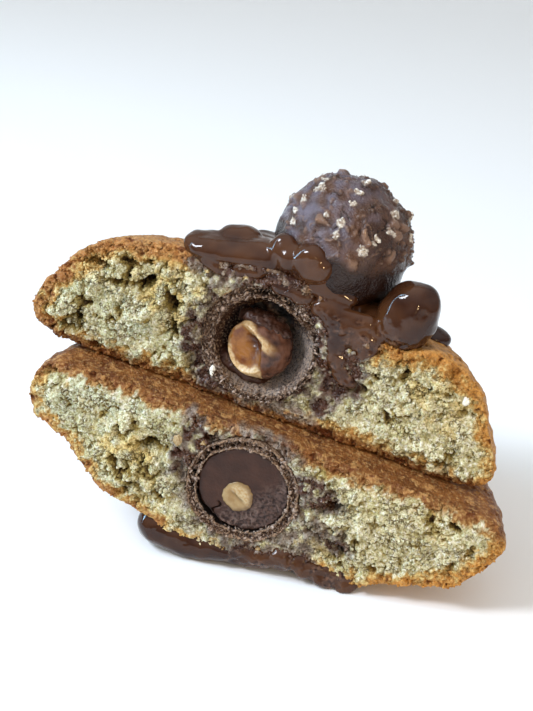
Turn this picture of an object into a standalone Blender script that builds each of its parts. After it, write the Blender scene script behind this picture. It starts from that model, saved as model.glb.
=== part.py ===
"""A filled New York style cookie, cut through its middle and stacked.

The two halves lie base to base, the lower one dome down, with their cut faces to the front (-Y).
Each cut face shows half of a hazelnut praline baked into the crumb. A whole praline sits on the
upper dome, and melted chocolate lies on both domes.

The halves are modelled in the stack's own frame, in which the joint between the two bases is
level: x runs along the joint, y runs back from the lower cut face and z is the height above the
joint. The empty "stack" then leans all of it to the right by TILT, so that the stack rests on its
chocolate. The world origin is the centre of the flat spot under that chocolate.
"""

import math

import bmesh
import bpy
import numpy as np
from mathutils import Matrix, Vector, noise

MM = 0.001
CLEARANCE = 0.3  # gap between pieces that touch, in mm

# How the stack stands, in mm
TILT = math.radians(11.3)
JOINT_HEIGHT = 33.3  # height of the joint between the bases above the floor, at x = 0
FOOT_CENTRE = (3.0, 20.0)  # world x and y of the flat spot, measured from the stack's own origin

# The two halves. Each outline runs from the crown over the rim to the middle of the flat base,
# as (distance from the cookie's axis, height above the base) in mm. "shoulder" is how far the
# crumb draws back at the edge of the base. Each hole or crack torn in the crumb is the (x, z) of
# its middle, its (half length, half width), its turn in degrees and its depth.
LOWER = {
    "name": "lower",
    "axis_x": 5.3,
    "face_y": 0.0,
    "side": -1,  # dome down
    "shoulder": 2.4,
    "seed": 1,
    "left": [
        (0, 30.6), (7, 30.8), (14, 30.2), (23, 27.2), (31, 24.6), (37, 21.0), (41.5, 17.2),
        (46, 15.4), (50, 13.2), (51.8, 8.0), (51.4, 3.2), (49, 0.9), (44, 0), (0, 0),
    ],
    "right": [
        (0, 30.6), (4, 29.3), (9, 26.9), (16, 25.0), (25, 25.4), (32, 22.4), (38, 20.2),
        (43, 18.2), (46.5, 13.8), (49.4, 10.4), (51.2, 5.6), (50.6, 2.6), (48, 0.8), (43, 0),
        (0, 0),
    ],
    "back": [
        (0, 30.6), (8, 30.0), (17, 29.2), (25, 27.6), (32, 25.2), (39, 21.4), (44, 17.2),
        (48, 12.4), (50.4, 7.6), (50.2, 3.4), (47.6, 0.9), (42, 0), (0, 0),
    ],
    "holes": [
        ((-19.3, -11.2), (3.6, 1.6), 12, 3.2),
        ((20.7, -10.2), (2.6, 1.5), -25, 2.8),
        ((22.0, -19.0), (2.0, 3.0), 20, 2.0),
        ((-9.8, -7.0), (2.2, 3.4), 20, 1.6),
        ((-37.0, -17.6), (3.4, 1.8), 35, 1.8),
        ((34.0, -12.5), (2.8, 1.8), 15, 1.4),
        ((-24.5, -15.5), (4.5, 2.0), -20, 1.5),
    ],
}
UPPER = {
    "name": "upper",
    "axis_x": -1.0,
    "face_y": 9.0,
    "side": 1,  # dome up
    "shoulder": 1.2,
    "seed": 2,
    "left": [
        (0, 31.6), (10, 31.2), (20, 30.4), (28, 29.4), (36, 27.2), (42, 24.0), (45.5, 19.6),
        (49.0, 14.8), (50.6, 9.8), (51.0, 5.2), (48.6, 2.0), (43, 0.6), (36, 0), (0, 0),
    ],
    "right": [
        (0, 31.6), (4.5, 30.8), (9, 28.6), (13, 26.4), (18, 25.0), (24, 25.2), (31, 26.6),
        (35.6, 25.8), (40.0, 23.4), (43.9, 19.4), (47.0, 14.0), (49.1, 9.4), (50.5, 5.2),
        (49.4, 2.2), (45, 0.5), (40, 0), (0, 0),
    ],
    "back": [
        (0, 31.6), (5, 30.8), (11, 28.6), (19, 25.4), (27, 22.2), (34, 18.8), (40, 15.2),
        (46.0, 11.2), (50.4, 7.0), (51.6, 4.0), (49.2, 1.2), (43, 0.3), (38, 0), (0, 0),
    ],
    "holes": [
        ((-40.1, 20.3), (3.0, 1.6), 10, 2.4),
        ((-36.3, 17.8), (1.9, 1.6), 0, 2.6),
        ((-30.0, 19.8), (3.4, 1.8), 30, 2.6),
        ((-24.0, 15.6), (1.7, 4.6), 25, 3.2),
        ((-30.5, 24.6), (1.5, 1.2), 0, 1.8),
        ((-43.0, 7.4), (2.2, 1.8), 0, 2.0),
        ((13.5, 11.5), (4.5, 2.2), 15, 2.2),
        ((39.5, 17.5), (1.8, 3.2), 25, 1.5),
        ((20.0, 5.2), (5.0, 2.2), -5, 1.6),
    ],
}
STEPS_OUTSIDE = 52  # steps along an outline from the crown to the edge of the base
STEPS_BASE = 10
FORM_SHARE = 0.55  # share of the form's faces that is kept
FACE_STEP = 3.3  # size of the crags that the cut face's solid shows

# The pralines that are cut through: (x, z) of the middle on the cut face, and radii
PRALINE_SIDES = 20
LOWER_PRALINE = (2.4, -13.3)
LOWER_WAFER_RADII = (11.9, 10.2)
LOWER_FILLING_RADIUS = 9.7
LOWER_NUT = ((1.9, 1.0, -15.2), (3.3, 4.6, 3.1))
UPPER_PRALINE = (-4.4, 15.6)
UPPER_WAFER_RADII = (12.2, 10.7)
UPPER_FILLING_RADIUS = 10.3
UPPER_FILLING_BACK = 5.6  # how far the cream lies behind the cut face
UPPER_NUT = ((-4.4, 12.6, 14.1), (6.8, 6.2, 6.6))
UPPER_NUT_HOLLOW = ((-5.6, 6.4, 14.2), (3.6, 2.6, 4.2))
NUT_SIDES = 16
PRALINE_STEP = 2.6  # size of the crags on a praline's cut

# The whole praline on top, and the chopped nuts in its coating
TOP_PRALINE = (5.0, 22.0, 37.9)
TOP_PRALINE_RADIUS = 13.7
TOP_PRALINE_SIDES = 24
CHOPPED_NUTS = 52
CHOPPED_NUT_RADIUS = (1.1, 1.9)
COVERED_BELOW = -9.0  # height from the praline's middle under which no chopped nuts show

# Lumps that run together into the chocolate: middle and radii
UPPER_CHOCOLATE = [
    ((-22.0, 12.8, 30.6), (4.0, 5.0, 2.2)),  # the pool at the left, up to the cut edge
    ((-17.0, 13.6, 30.8), (6.0, 6.0, 2.6)),
    ((-15.6, 18.6, 30.6), (4.4, 4.6, 3.2)),
    ((-10.0, 14.0, 31.4), (7.0, 6.0, 2.8)),
    ((-9.6, 23.0, 29.6), (6.4, 7.0, 3.4)),
    ((-6.0, 12.6, 33.8), (4.6, 4.2, 3.7)),  # lobes in front of the whole praline
    ((-2.2, 11.6, 34.6), (4.6, 3.6, 4.0)),
    ((2.6, 11.6, 33.0), (4.6, 3.4, 3.4)),
    ((8.8, 12.2, 30.4), (5.4, 4.0, 3.4)),
    ((14.6, 12.8, 28.8), (5.2, 4.2, 3.6)),
    ((22.0, 12.6, 31.2), (6.1, 6.0, 7.0)),  # the big bead at the right
    ((18.6, 14.6, 27.4), (6.0, 5.6, 3.6)),
    ((19.6, 22.0, 26.2), (7.4, 8.0, 3.4)),  # the rest of the ring round the whole praline
    ((14.0, 32.0, 25.4), (8.0, 6.6, 3.2)),
    ((3.0, 35.4, 25.0), (8.4, 6.0, 3.2)),
    ((-6.8, 31.0, 26.8), (6.8, 7.4, 3.4)),
    ((-3.0, 42.4, 21.4), (3.6, 5.4, 2.6)),  # drips down the back
    ((15.6, 39.6, 21.6), (3.4, 4.8, 2.6)),
    ((28.0, 23.6, 24.0), (4.8, 3.4, 2.4)),
    ((5.0, 22.0, 27.4), (12.5, 13.0, 5.4)),
    ((9.6, 9.2, 27.2), (3.6, 2.2, 3.6)),  # smeared down the cut face
    ((13.4, 9.4, 25.2), (4.0, 2.3, 4.4)),
    ((17.0, 9.8, 25.8), (3.0, 2.2, 4.4)),
    ((12.4, 9.2, 19.8), (2.7, 2.0, 3.8)),
    ((14.0, 9.2, 15.8), (3.0, 1.9, 2.4)),
]
LOWER_CHOCOLATE = [
    ((-12.4, 4.4, -30.8), (5.2, 5.2, 5.0)),  # along the cut edge
    ((-6.4, 4.4, -31.8), (6.4, 5.4, 4.3)),
    ((1.2, 4.6, -29.8), (7.0, 5.6, 3.4)),
    ((8.2, 4.6, -28.2), (6.6, 5.4, 3.4)),
    ((15.0, 4.6, -26.0), (6.4, 5.4, 3.2)),
    ((22.0, 4.6, -25.8), (6.0, 5.4, 3.0)),
    ((28.2, 4.6, -25.2), (5.0, 5.2, 3.4)),
    ((5.0, 17.0, -29.2), (19.0, 14.5, 6.0)),  # the spread behind it, down to the floor
    ((19.0, 15.0, -26.2), (13.0, 12.0, 5.2)),
    ((-8.0, 13.0, -29.2), (9.0, 10.0, 6.4)),
    ((-7.0, 26.0, -28.0), (7.0, 6.4, 6.6)),  # its uneven edge
    ((4.0, 31.0, -27.6), (9.0, 6.0, 6.0)),
    ((15.0, 28.0, -26.6), (7.6, 6.4, 5.4)),
    ((29.6, 18.0, -23.6), (4.6, 5.4, 3.6)),
]
CHOCOLATE_GRAIN = 1.0  # size of the grid that joins the lumps
UPPER_CHOCOLATE_SHARE = 0.10  # share of that grid's faces that is kept
LOWER_CHOCOLATE_SHARE = 0.08

COLOURS = {
    "crumb": ((0.70, 0.56, 0.33), 0.85),
    "wafer": ((0.16, 0.09, 0.06), 0.70),
    "cream": ((0.055, 0.028, 0.020), 0.45),
    "nut": ((0.72, 0.50, 0.25), 0.55),
    "roast_nut": ((0.36, 0.16, 0.06), 0.50),
    "coating": ((0.085, 0.045, 0.035), 0.45),
    "chocolate": ((0.065, 0.030, 0.018), 0.18),
}


# ---------------------------------------------------------------- scene, objects, modifiers


def clear_scene():
    for obj in list(bpy.data.objects):
        bpy.data.objects.remove(obj)


def new_collection(name):
    collection = bpy.data.collections.new(name)
    bpy.context.scene.collection.children.link(collection)
    return collection


def new_material(name):
    colour, roughness = COLOURS[name]
    material = bpy.data.materials.new(name)
    material.use_nodes = True
    shader = material.node_tree.nodes["Principled BSDF"]
    shader.inputs["Base Color"].default_value = (*colour, 1)
    shader.inputs["Roughness"].default_value = roughness
    shader.inputs["Metallic"].default_value = 0.0
    material.diffuse_color = (*colour, 1)
    return material


class Workshop:
    """Where the pieces, the cutters and the materials go, and the empty that leans the stack."""

    def __init__(self):
        self.pieces = new_collection("new_york_style_cookie")
        self.cutters = new_collection("cutters")
        self.materials = {name: new_material(name) for name in COLOURS}
        self.stack = bpy.data.objects.new("stack", None)
        self.pieces.objects.link(self.stack)
        self.stack.location = (-FOOT_CENTRE[0] * MM, -FOOT_CENTRE[1] * MM, JOINT_HEIGHT * MM)
        self.stack.rotation_euler = (0, TILT, 0)

    def piece(self, name, mesh, material):
        obj = bpy.data.objects.new(name, mesh)
        obj.parent = self.stack
        mesh.materials.append(self.materials[material])
        mesh.shade_smooth()
        self.pieces.objects.link(obj)
        return obj

    def cutter(self, name, mesh):
        obj = bpy.data.objects.new(name, mesh)
        obj.parent = self.stack
        obj.hide_render = True
        obj.display_type = "WIRE"
        self.cutters.objects.link(obj)
        return obj


def mesh_from(bm, name):
    """Turns a bmesh in millimetres into a mesh in metres."""
    bmesh.ops.scale(bm, vec=(MM, MM, MM), verts=bm.verts)
    bmesh.ops.recalc_face_normals(bm, faces=bm.faces)
    mesh = bpy.data.meshes.new(name)
    bm.to_mesh(mesh)
    bm.free()
    return mesh


def cut(obj, cutter):
    modifier = obj.modifiers.new("cut_" + cutter.name, "BOOLEAN")
    modifier.operation = "DIFFERENCE"
    modifier.object = cutter


def add_ellipsoid(bm, middle, radii, sides):
    bmesh.ops.create_uvsphere(
        bm,
        u_segments=sides,
        v_segments=round(sides * 0.6),
        radius=1,
        matrix=Matrix.Translation(middle) @ Matrix.Diagonal((*radii, 1)),
    )


def ellipsoid_mesh(name, middle, radii, sides):
    bm = bmesh.new()
    add_ellipsoid(bm, middle, radii, sides)
    return mesh_from(bm, name)


def grown(radii):
    """The radii with the gap that touching pieces keep."""
    return [radius + CLEARANCE for radius in radii]


def evaluated_mesh(obj):
    bpy.context.view_layer.update()
    depsgraph = bpy.context.evaluated_depsgraph_get()
    return bpy.data.meshes.new_from_object(obj.evaluated_get(depsgraph))


def fewer_faces(mesh, share):
    """The same form with this share of its faces, the most where it bends."""
    obj = bpy.data.objects.new(mesh.name, mesh)
    bpy.context.scene.collection.objects.link(obj)
    obj.modifiers.new("fewer", "DECIMATE").ratio = share
    thinned = evaluated_mesh(obj)
    bpy.data.objects.remove(obj)
    return thinned


def front_block(name, middle, size, step, surface):
    """A block that cuts away what lies in front of a face; surface(x, z) is the face's y."""
    bm = bmesh.new()
    columns, rows = [round(side / step) for side in size]
    bmesh.ops.create_grid(bm, x_segments=columns, y_segments=rows, size=0.5)
    for v in bm.verts:
        x, z = middle[0] + size[0] * v.co.x, middle[1] + size[1] * v.co.y
        v.co = (x, surface(x, z), z)
    extruded = bmesh.ops.extrude_face_region(bm, geom=list(bm.faces))["geom"]
    for v in extruded:
        if isinstance(v, bmesh.types.BMVert):
            v.co.y = -60
    return mesh_from(bm, name)


# ---------------------------------------------------------------- the cookie's outer form


def smooth_profile(points):
    """A smooth curve through the outline, as even steps outside and even steps on the base."""
    p = np.array([points[0], *points, points[-1]], float)
    curve = []
    for i in range(1, len(p) - 2):
        for t in np.linspace(0, 1, 12, endpoint=False):
            curve.append(
                0.5
                * (
                    2 * p[i]
                    + (p[i + 1] - p[i - 1]) * t
                    + (2 * p[i - 1] - 5 * p[i] + 4 * p[i + 1] - p[i + 2]) * t**2
                    + (3 * p[i] - p[i - 1] - 3 * p[i + 1] + p[i + 2]) * t**3
                )
            )
    curve = np.clip(np.array([*curve, p[-2]]), 0, None)
    edge = next(i for i in range(len(curve) // 2, len(curve)) if curve[i, 1] < 0.02)
    outside, base = spread(curve[: edge + 1], STEPS_OUTSIDE), spread(curve[edge:], STEPS_BASE)
    return np.concatenate([outside, base[1:]])


def spread(curve, steps):
    """Points at even distances along a curve."""
    length = np.concatenate([[0], np.cumsum(np.linalg.norm(np.diff(curve, axis=0), axis=1))])
    wanted = np.linspace(0, length[-1], steps + 1)
    return np.stack([np.interp(wanted, length, curve[:, i]) for i in (0, 1)], axis=1)


class CookieHalf:
    """The outer form of one half before it is cut: the outline turns from right over back to left."""

    def __init__(self, sizes):
        self.name = sizes["name"]
        self.side = sizes["side"]
        self.axis_x = sizes["axis_x"]
        self.face_y = sizes["face_y"]
        self.shoulder = sizes["shoulder"]
        self.holes = sizes["holes"]
        self.seed = sizes["seed"]
        self.left, self.right, self.back = [
            smooth_profile(sizes[way]) for way in ("left", "right", "back")
        ]
        self.form = self.uncut_form()

    def outline(self, angle):
        """The outline at this angle about the cookie's axis, as steps of (radius, height)."""
        to_back = abs(math.sin(angle))
        side = self.right if math.cos(angle) > 0 else self.left
        return self.back * to_back + side * (1 - to_back)

    def relief(self, place, height):
        """How far crags stand out of the smooth form, in mm. The flat base has none."""
        p = Vector(place) + Vector((0, 0, 40 * self.seed))
        lumps = 0.9 * noise.noise(p / 13) + 0.75 * noise.noise(p / 6.5)
        crack = max(0.0, 1 - abs(noise.noise(p / 15 + Vector((9, 0, 0)))) / 0.07)
        fade = min(1.0, max(0.0, (height - 0.6) / 4))
        return fade * (lumps - 0.9 * crack)

    def body(self, grow):
        """The uncut form as a mesh, made `grow` mm larger all over."""
        bm = bmesh.new()
        bm.from_mesh(self.form)
        bm.normal_update()
        for v in bm.verts:
            v.co += v.normal * grow * MM
        mesh = bpy.data.meshes.new(self.name + "_body")
        bm.to_mesh(mesh)
        bm.free()
        return mesh

    def uncut_form(self):
        """The outline turned about the axis, with its relief, and with few faces where it is plain."""
        bm = bmesh.new()
        bmesh.ops.create_icosphere(bm, subdivisions=5, radius=1)
        steps = np.arange(STEPS_OUTSIDE + STEPS_BASE + 1)
        heights = {}
        for v in bm.verts:
            step = math.acos(max(-1.0, min(1.0, v.co.z))) / math.pi * steps[-1]
            angle = math.atan2(v.co.y, v.co.x)
            outline = self.outline(angle)
            radius, height = [float(np.interp(step, steps, outline[:, i])) for i in (0, 1)]
            v.co = (radius * math.cos(angle), radius * math.sin(angle), height)
            heights[v] = height
        bm.normal_update()
        moves = {v: v.normal * self.relief(v.co, heights[v]) for v in bm.verts}
        for v in bm.verts:
            v.co += moves[v]
            v.co.z = (v.co.z + CLEARANCE / 2) * self.side
            v.co += Vector((self.axis_x, self.face_y, 0))
        return fewer_faces(mesh_from(bm, self.name), FORM_SHARE)

    def face_depth(self, x, z):
        """How far behind the cut plane the torn crumb lies at this place, in mm."""
        p = Vector((x, 50 * self.seed, z))
        depth = 0.9 * noise.noise(p / 16) + 0.8 * noise.noise(p / 6) + 0.3 * noise.noise(p / 3)
        depth += self.shoulder * math.exp(-((z / 1.6) ** 2))
        for (hx, hz), (long, wide), turn, deep in self.holes:
            a = math.radians(turn)
            u = ((x - hx) * math.cos(a) + (z - hz) * math.sin(a)) / long
            v = ((z - hz) * math.cos(a) - (x - hx) * math.sin(a)) / wide
            depth += deep * math.exp(-((u * u + v * v) ** 1.5))
        return depth

    def front(self, forward=0.0):
        """What lies in front of the torn face, moved forward by this much."""
        return front_block(
            self.name + "_front",
            (0, 20 * self.side),
            (120, 54),
            FACE_STEP,
            lambda x, z: self.face_y + self.face_depth(x, z) - forward,
        )


# ---------------------------------------------------------------- the pieces


def build_half(shop, half, praline, praline_radius):
    """One half of the cookie, with the torn cut face and a pocket for its praline."""
    obj = shop.piece(half.name + "_half", half.body(0), "crumb")
    cut(obj, shop.cutter(half.name + "_front", half.front()))
    pocket = praline_ball(half, praline, praline_radius + CLEARANCE)
    cut(obj, shop.cutter(half.name + "_pocket", pocket))
    return obj


def praline_ball(half, praline, radius):
    middle = (praline[0], half.face_y, praline[1])
    return ellipsoid_mesh("ball", middle, [radius] * 3, PRALINE_SIDES)


def build_wafer(shop, half, praline, radii, surface):
    """The praline's wafer shell, cut through along the surface."""
    outer, inner = radii
    name = half.name + "_wafer"
    wafer = shop.piece(name, praline_ball(half, praline, outer), "wafer")
    cut(wafer, shop.cutter(name + "_hollow", praline_ball(half, praline, inner)))
    front = front_block(name, praline, (2.4 * outer, 2.4 * outer), PRALINE_STEP, surface)
    cut(wafer, shop.cutter(name + "_front", front))


def build_filling(shop, half, praline, radius, nut, surface):
    """The cream in the praline, with a socket for the nut."""
    name = half.name + "_filling"
    filling = shop.piece(name, praline_ball(half, praline, radius), "cream")
    front = front_block(name, praline, (2.4 * radius, 2.4 * radius), PRALINE_STEP, surface)
    cut(filling, shop.cutter(name + "_front", front))
    middle, radii = nut
    socket = ellipsoid_mesh("socket", middle, grown(radii), NUT_SIDES)
    cut(filling, shop.cutter(name + "_socket", socket))


def build_lower_praline(shop, half):
    """A praline cut clean through: wafer, cream and nut lie flush with the crumb."""
    y = half.face_y

    def wafer_face(x, z):
        return y - 0.3 + 0.5 * noise.noise(Vector((x, 3, z)) / 4)

    def filling_face(x, z):
        return y + 0.5 + 0.4 * noise.noise(Vector((x, 8, z)) / 5)

    def nut_face(x, z):
        """Flat, with the crease between the nut's two halves."""
        across = 0.8 * (x - LOWER_NUT[0][0]) + 0.6 * (z - LOWER_NUT[0][2])
        return y + 0.35 + 0.5 * math.exp(-(across**2) / 0.8)

    build_wafer(shop, half, LOWER_PRALINE, LOWER_WAFER_RADII, wafer_face)
    build_filling(shop, half, LOWER_PRALINE, LOWER_FILLING_RADIUS, LOWER_NUT, filling_face)
    nut = shop.piece("lower_nut", ellipsoid_mesh("lower_nut", *LOWER_NUT, NUT_SIDES), "nut")
    middle = (LOWER_NUT[0][0], LOWER_NUT[0][2])
    front = front_block("lower_nut_front", middle, (10, 10), 1.25, nut_face)
    cut(nut, shop.cutter("lower_nut_front", front))


def build_upper_praline(shop, half):
    """A praline whose cream has come away: an empty shell with the broken nut lying in it."""
    y = half.face_y

    def wafer_face(x, z):
        """The shell stands furthest out of the crumb at the lower right."""
        out = (0.65 * (x - UPPER_PRALINE[0]) - 0.75 * (z - UPPER_PRALINE[1])) / UPPER_WAFER_RADII[0]
        return y - 0.5 - 1.2 * out + 0.6 * noise.noise(Vector((x, 5, z)) / 4)

    def filling_face(x, z):
        return y + UPPER_FILLING_BACK + 1.2 * noise.noise(Vector((x, 2, z)) / 5)

    build_wafer(shop, half, UPPER_PRALINE, UPPER_WAFER_RADII, wafer_face)
    build_filling(shop, half, UPPER_PRALINE, UPPER_FILLING_RADIUS, UPPER_NUT, filling_face)
    nut = shop.piece("upper_nut", ellipsoid_mesh("upper_nut", *UPPER_NUT, NUT_SIDES), "roast_nut")
    hollow = ellipsoid_mesh("upper_nut_hollow", *UPPER_NUT_HOLLOW, 12)
    cut(nut, shop.cutter("upper_nut_hollow", hollow))


def is_under_chocolate(place, margin):
    for middle, radii in UPPER_CHOCOLATE:
        if sum(((p - m) / (r + margin)) ** 2 for p, m, r in zip(place, middle, radii)) < 1:
            return True
    return False


def build_top_praline(shop):
    """The whole praline: a ball with chopped nuts fused on wherever no chocolate lies."""
    rng = np.random.default_rng(7)
    ball = ellipsoid_mesh("top_praline", TOP_PRALINE, [TOP_PRALINE_RADIUS] * 3, TOP_PRALINE_SIDES)
    obj = shop.piece("top_praline", ball, "coating")
    nuts = new_collection("chopped_nuts")
    for i in range(CHOPPED_NUTS):
        # even places all over a ball, on a spiral
        height = 1 - 2 * (i + 0.5) / CHOPPED_NUTS
        turn = i * math.pi * (3 - math.sqrt(5)) + rng.uniform(-0.25, 0.25)
        ring = math.sqrt(1 - height * height)
        way = Vector((ring * math.cos(turn), ring * math.sin(turn), height))
        place = Vector(TOP_PRALINE) + way * (TOP_PRALINE_RADIUS - 0.3)
        radius = rng.uniform(*CHOPPED_NUT_RADIUS)
        if is_under_chocolate(place, radius + 0.8) or place.z < TOP_PRALINE[2] + COVERED_BELOW:
            continue
        shape = Matrix.Rotation(rng.uniform(0, 6), 4, way) @ Matrix.Diagonal(
            (radius, radius * rng.uniform(0.7, 1.0), radius * 0.9, 1)
        )
        grain = bmesh.new()
        bmesh.ops.create_icosphere(
            grain, subdivisions=1, radius=1, matrix=Matrix.Translation(place) @ shape
        )
        nut = bpy.data.objects.new("chopped_nut", mesh_from(grain, "chopped_nut"))
        nut.parent = shop.stack
        nuts.objects.link(nut)
    join_collection(obj, nuts)


def join_collection(obj, collection):
    """Fuses every object of the collection to this one, and removes them."""
    modifier = obj.modifiers.new("fuse", "BOOLEAN")
    modifier.operation = "UNION"
    modifier.operand_type = "COLLECTION"
    modifier.collection = collection
    modifier.solver = "EXACT"
    fused = evaluated_mesh(obj)
    obj.modifiers.remove(modifier)
    obj.data = fused
    for other in list(collection.objects):
        bpy.data.objects.remove(other)
    bpy.data.collections.remove(collection)


def build_chocolate(shop, name, lumps, share, half):
    """Lumps run together into one smooth mass on a dome, which keeps clear of the crumb."""
    bm = bmesh.new()
    for middle, radii in lumps:
        add_ellipsoid(bm, middle, radii, 20)
    lump = bpy.data.objects.new(name, mesh_from(bm, name))
    bpy.context.scene.collection.objects.link(lump)
    join = lump.modifiers.new("join", "REMESH")
    join.mode = "VOXEL"
    join.voxel_size = CHOCOLATE_GRAIN * MM
    smooth = lump.modifiers.new("smooth", "SMOOTH")
    smooth.factor = 0.5
    smooth.iterations = 6
    mesh = fewer_faces(evaluated_mesh(lump), share)
    bpy.data.objects.remove(lump)

    obj = shop.piece(name, mesh, "chocolate")
    seat = shop.cutter(name + "_seat", half.body(CLEARANCE))
    cut(seat, shop.cutter(name + "_seat_front", half.front(CLEARANCE)))
    cut(obj, seat)
    return obj


def drop_scraps(obj):
    """Applies the cuts and keeps the largest body that they leave."""
    bm = bmesh.new()
    bm.from_mesh(evaluated_mesh(obj))
    obj.modifiers.clear()
    unseen, largest = set(bm.verts), []
    while unseen:
        body, edge = [], [unseen.pop()]
        while edge:
            vert = edge.pop()
            body.append(vert)
            near = {e.other_vert(vert) for e in vert.link_edges} & unseen
            unseen -= near
            edge.extend(near)
        largest = max(largest, body, key=len)
    kept = set(largest)
    bmesh.ops.delete(bm, geom=[v for v in bm.verts if v not in kept], context="VERTS")
    bm.to_mesh(obj.data)
    bm.free()


def build_upper_chocolate(shop, half):
    """The chocolate round the whole praline, the bead and the smear down the cut face."""
    obj = build_chocolate(shop, "upper_chocolate", UPPER_CHOCOLATE, UPPER_CHOCOLATE_SHARE, half)
    balls = (
        (TOP_PRALINE, TOP_PRALINE_RADIUS),
        ((UPPER_PRALINE[0], half.face_y, UPPER_PRALINE[1]), UPPER_WAFER_RADII[0]),
    )
    for middle, radius in balls:
        seat = ellipsoid_mesh("ball_seat", middle, grown([radius] * 3), TOP_PRALINE_SIDES)
        cut(obj, shop.cutter("ball_seat", seat))
    drop_scraps(obj)


def build_lower_chocolate(shop, half):
    """The chocolate under the lower dome, flush with the cut face and flat where it rests."""
    obj = build_chocolate(shop, "lower_chocolate", LOWER_CHOCOLATE, LOWER_CHOCOLATE_SHARE, half)
    cut(obj, shop.cutter("lower_chocolate_front", half.front()))
    under = bmesh.new()
    bmesh.ops.create_cube(under, size=80, matrix=Matrix.Translation((0, 0, -40)))
    floor = shop.cutter("floor", mesh_from(under, "floor"))
    floor.parent = None  # level in the world, not with the stack
    cut(obj, floor)
    drop_scraps(obj)


def main():
    clear_scene()
    shop = Workshop()

    lower = CookieHalf(LOWER)
    build_half(shop, lower, LOWER_PRALINE, LOWER_WAFER_RADII[0])
    build_lower_praline(shop, lower)
    build_lower_chocolate(shop, lower)

    upper = CookieHalf(UPPER)
    upper_half = build_half(shop, upper, UPPER_PRALINE, UPPER_WAFER_RADII[0])
    build_upper_praline(shop, upper)
    build_top_praline(shop)
    dimple = ellipsoid_mesh(
        "dimple", TOP_PRALINE, grown([TOP_PRALINE_RADIUS] * 3), TOP_PRALINE_SIDES
    )
    cut(upper_half, shop.cutter("dimple", dimple))
    build_upper_chocolate(shop, upper)


main()
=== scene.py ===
"""The look of a filled New York style cookie, cut through, stacked and topped with a praline.

Shapes are worked out in millimetres in the stack's own frame, in which the joint between the two
halves is level: x runs along the joint, y runs back from the lower cut face and z is the height
above the joint. Each finished mesh is then leaned into the row frame, in metres.
"""
import math

import bmesh
import bpy
import numpy as np
from mathutils import Matrix, Vector, kdtree, noise


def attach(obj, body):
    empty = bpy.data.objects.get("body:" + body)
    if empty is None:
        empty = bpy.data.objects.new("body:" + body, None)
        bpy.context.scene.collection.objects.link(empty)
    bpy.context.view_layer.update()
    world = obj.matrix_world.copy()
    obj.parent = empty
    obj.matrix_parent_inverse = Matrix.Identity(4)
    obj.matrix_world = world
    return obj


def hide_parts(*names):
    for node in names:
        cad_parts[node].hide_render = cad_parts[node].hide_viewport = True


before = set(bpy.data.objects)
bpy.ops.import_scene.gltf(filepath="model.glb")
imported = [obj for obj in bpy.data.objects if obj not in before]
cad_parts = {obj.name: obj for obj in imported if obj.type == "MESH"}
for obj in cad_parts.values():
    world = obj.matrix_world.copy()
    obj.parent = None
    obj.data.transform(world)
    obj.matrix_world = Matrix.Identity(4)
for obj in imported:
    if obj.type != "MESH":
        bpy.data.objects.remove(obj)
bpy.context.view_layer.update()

MM = 0.001
BODY = "root"

# How the stack stands, as in the part, in mm
TILT = math.radians(11.3)
STACK_AT = np.array([-3.0, -20.0, 33.3])
LEAN = np.array(Matrix.Rotation(TILT, 3, "Y"))

# The camera: as the photograph was taken, in mm
CAMERA_AT = (34.93, -223.13, 147.47)
CAMERA_LOOKS_AT = (-4.41, 0.0, 41.81)
CAMERA_ROLL = math.radians(5.572)
CAMERA_LENS = 58.99

# The pralines that are cut through: (x, y, z) of the middle, as in the part
LOWER_MIDDLE = (2.4, 0.0, -13.3)
UPPER_MIDDLE = (-4.4, 9.0, 15.6)
TOP_MIDDLE = (4.8, 22.0, 37.3)
TOP_RADIUS = 14.0

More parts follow.
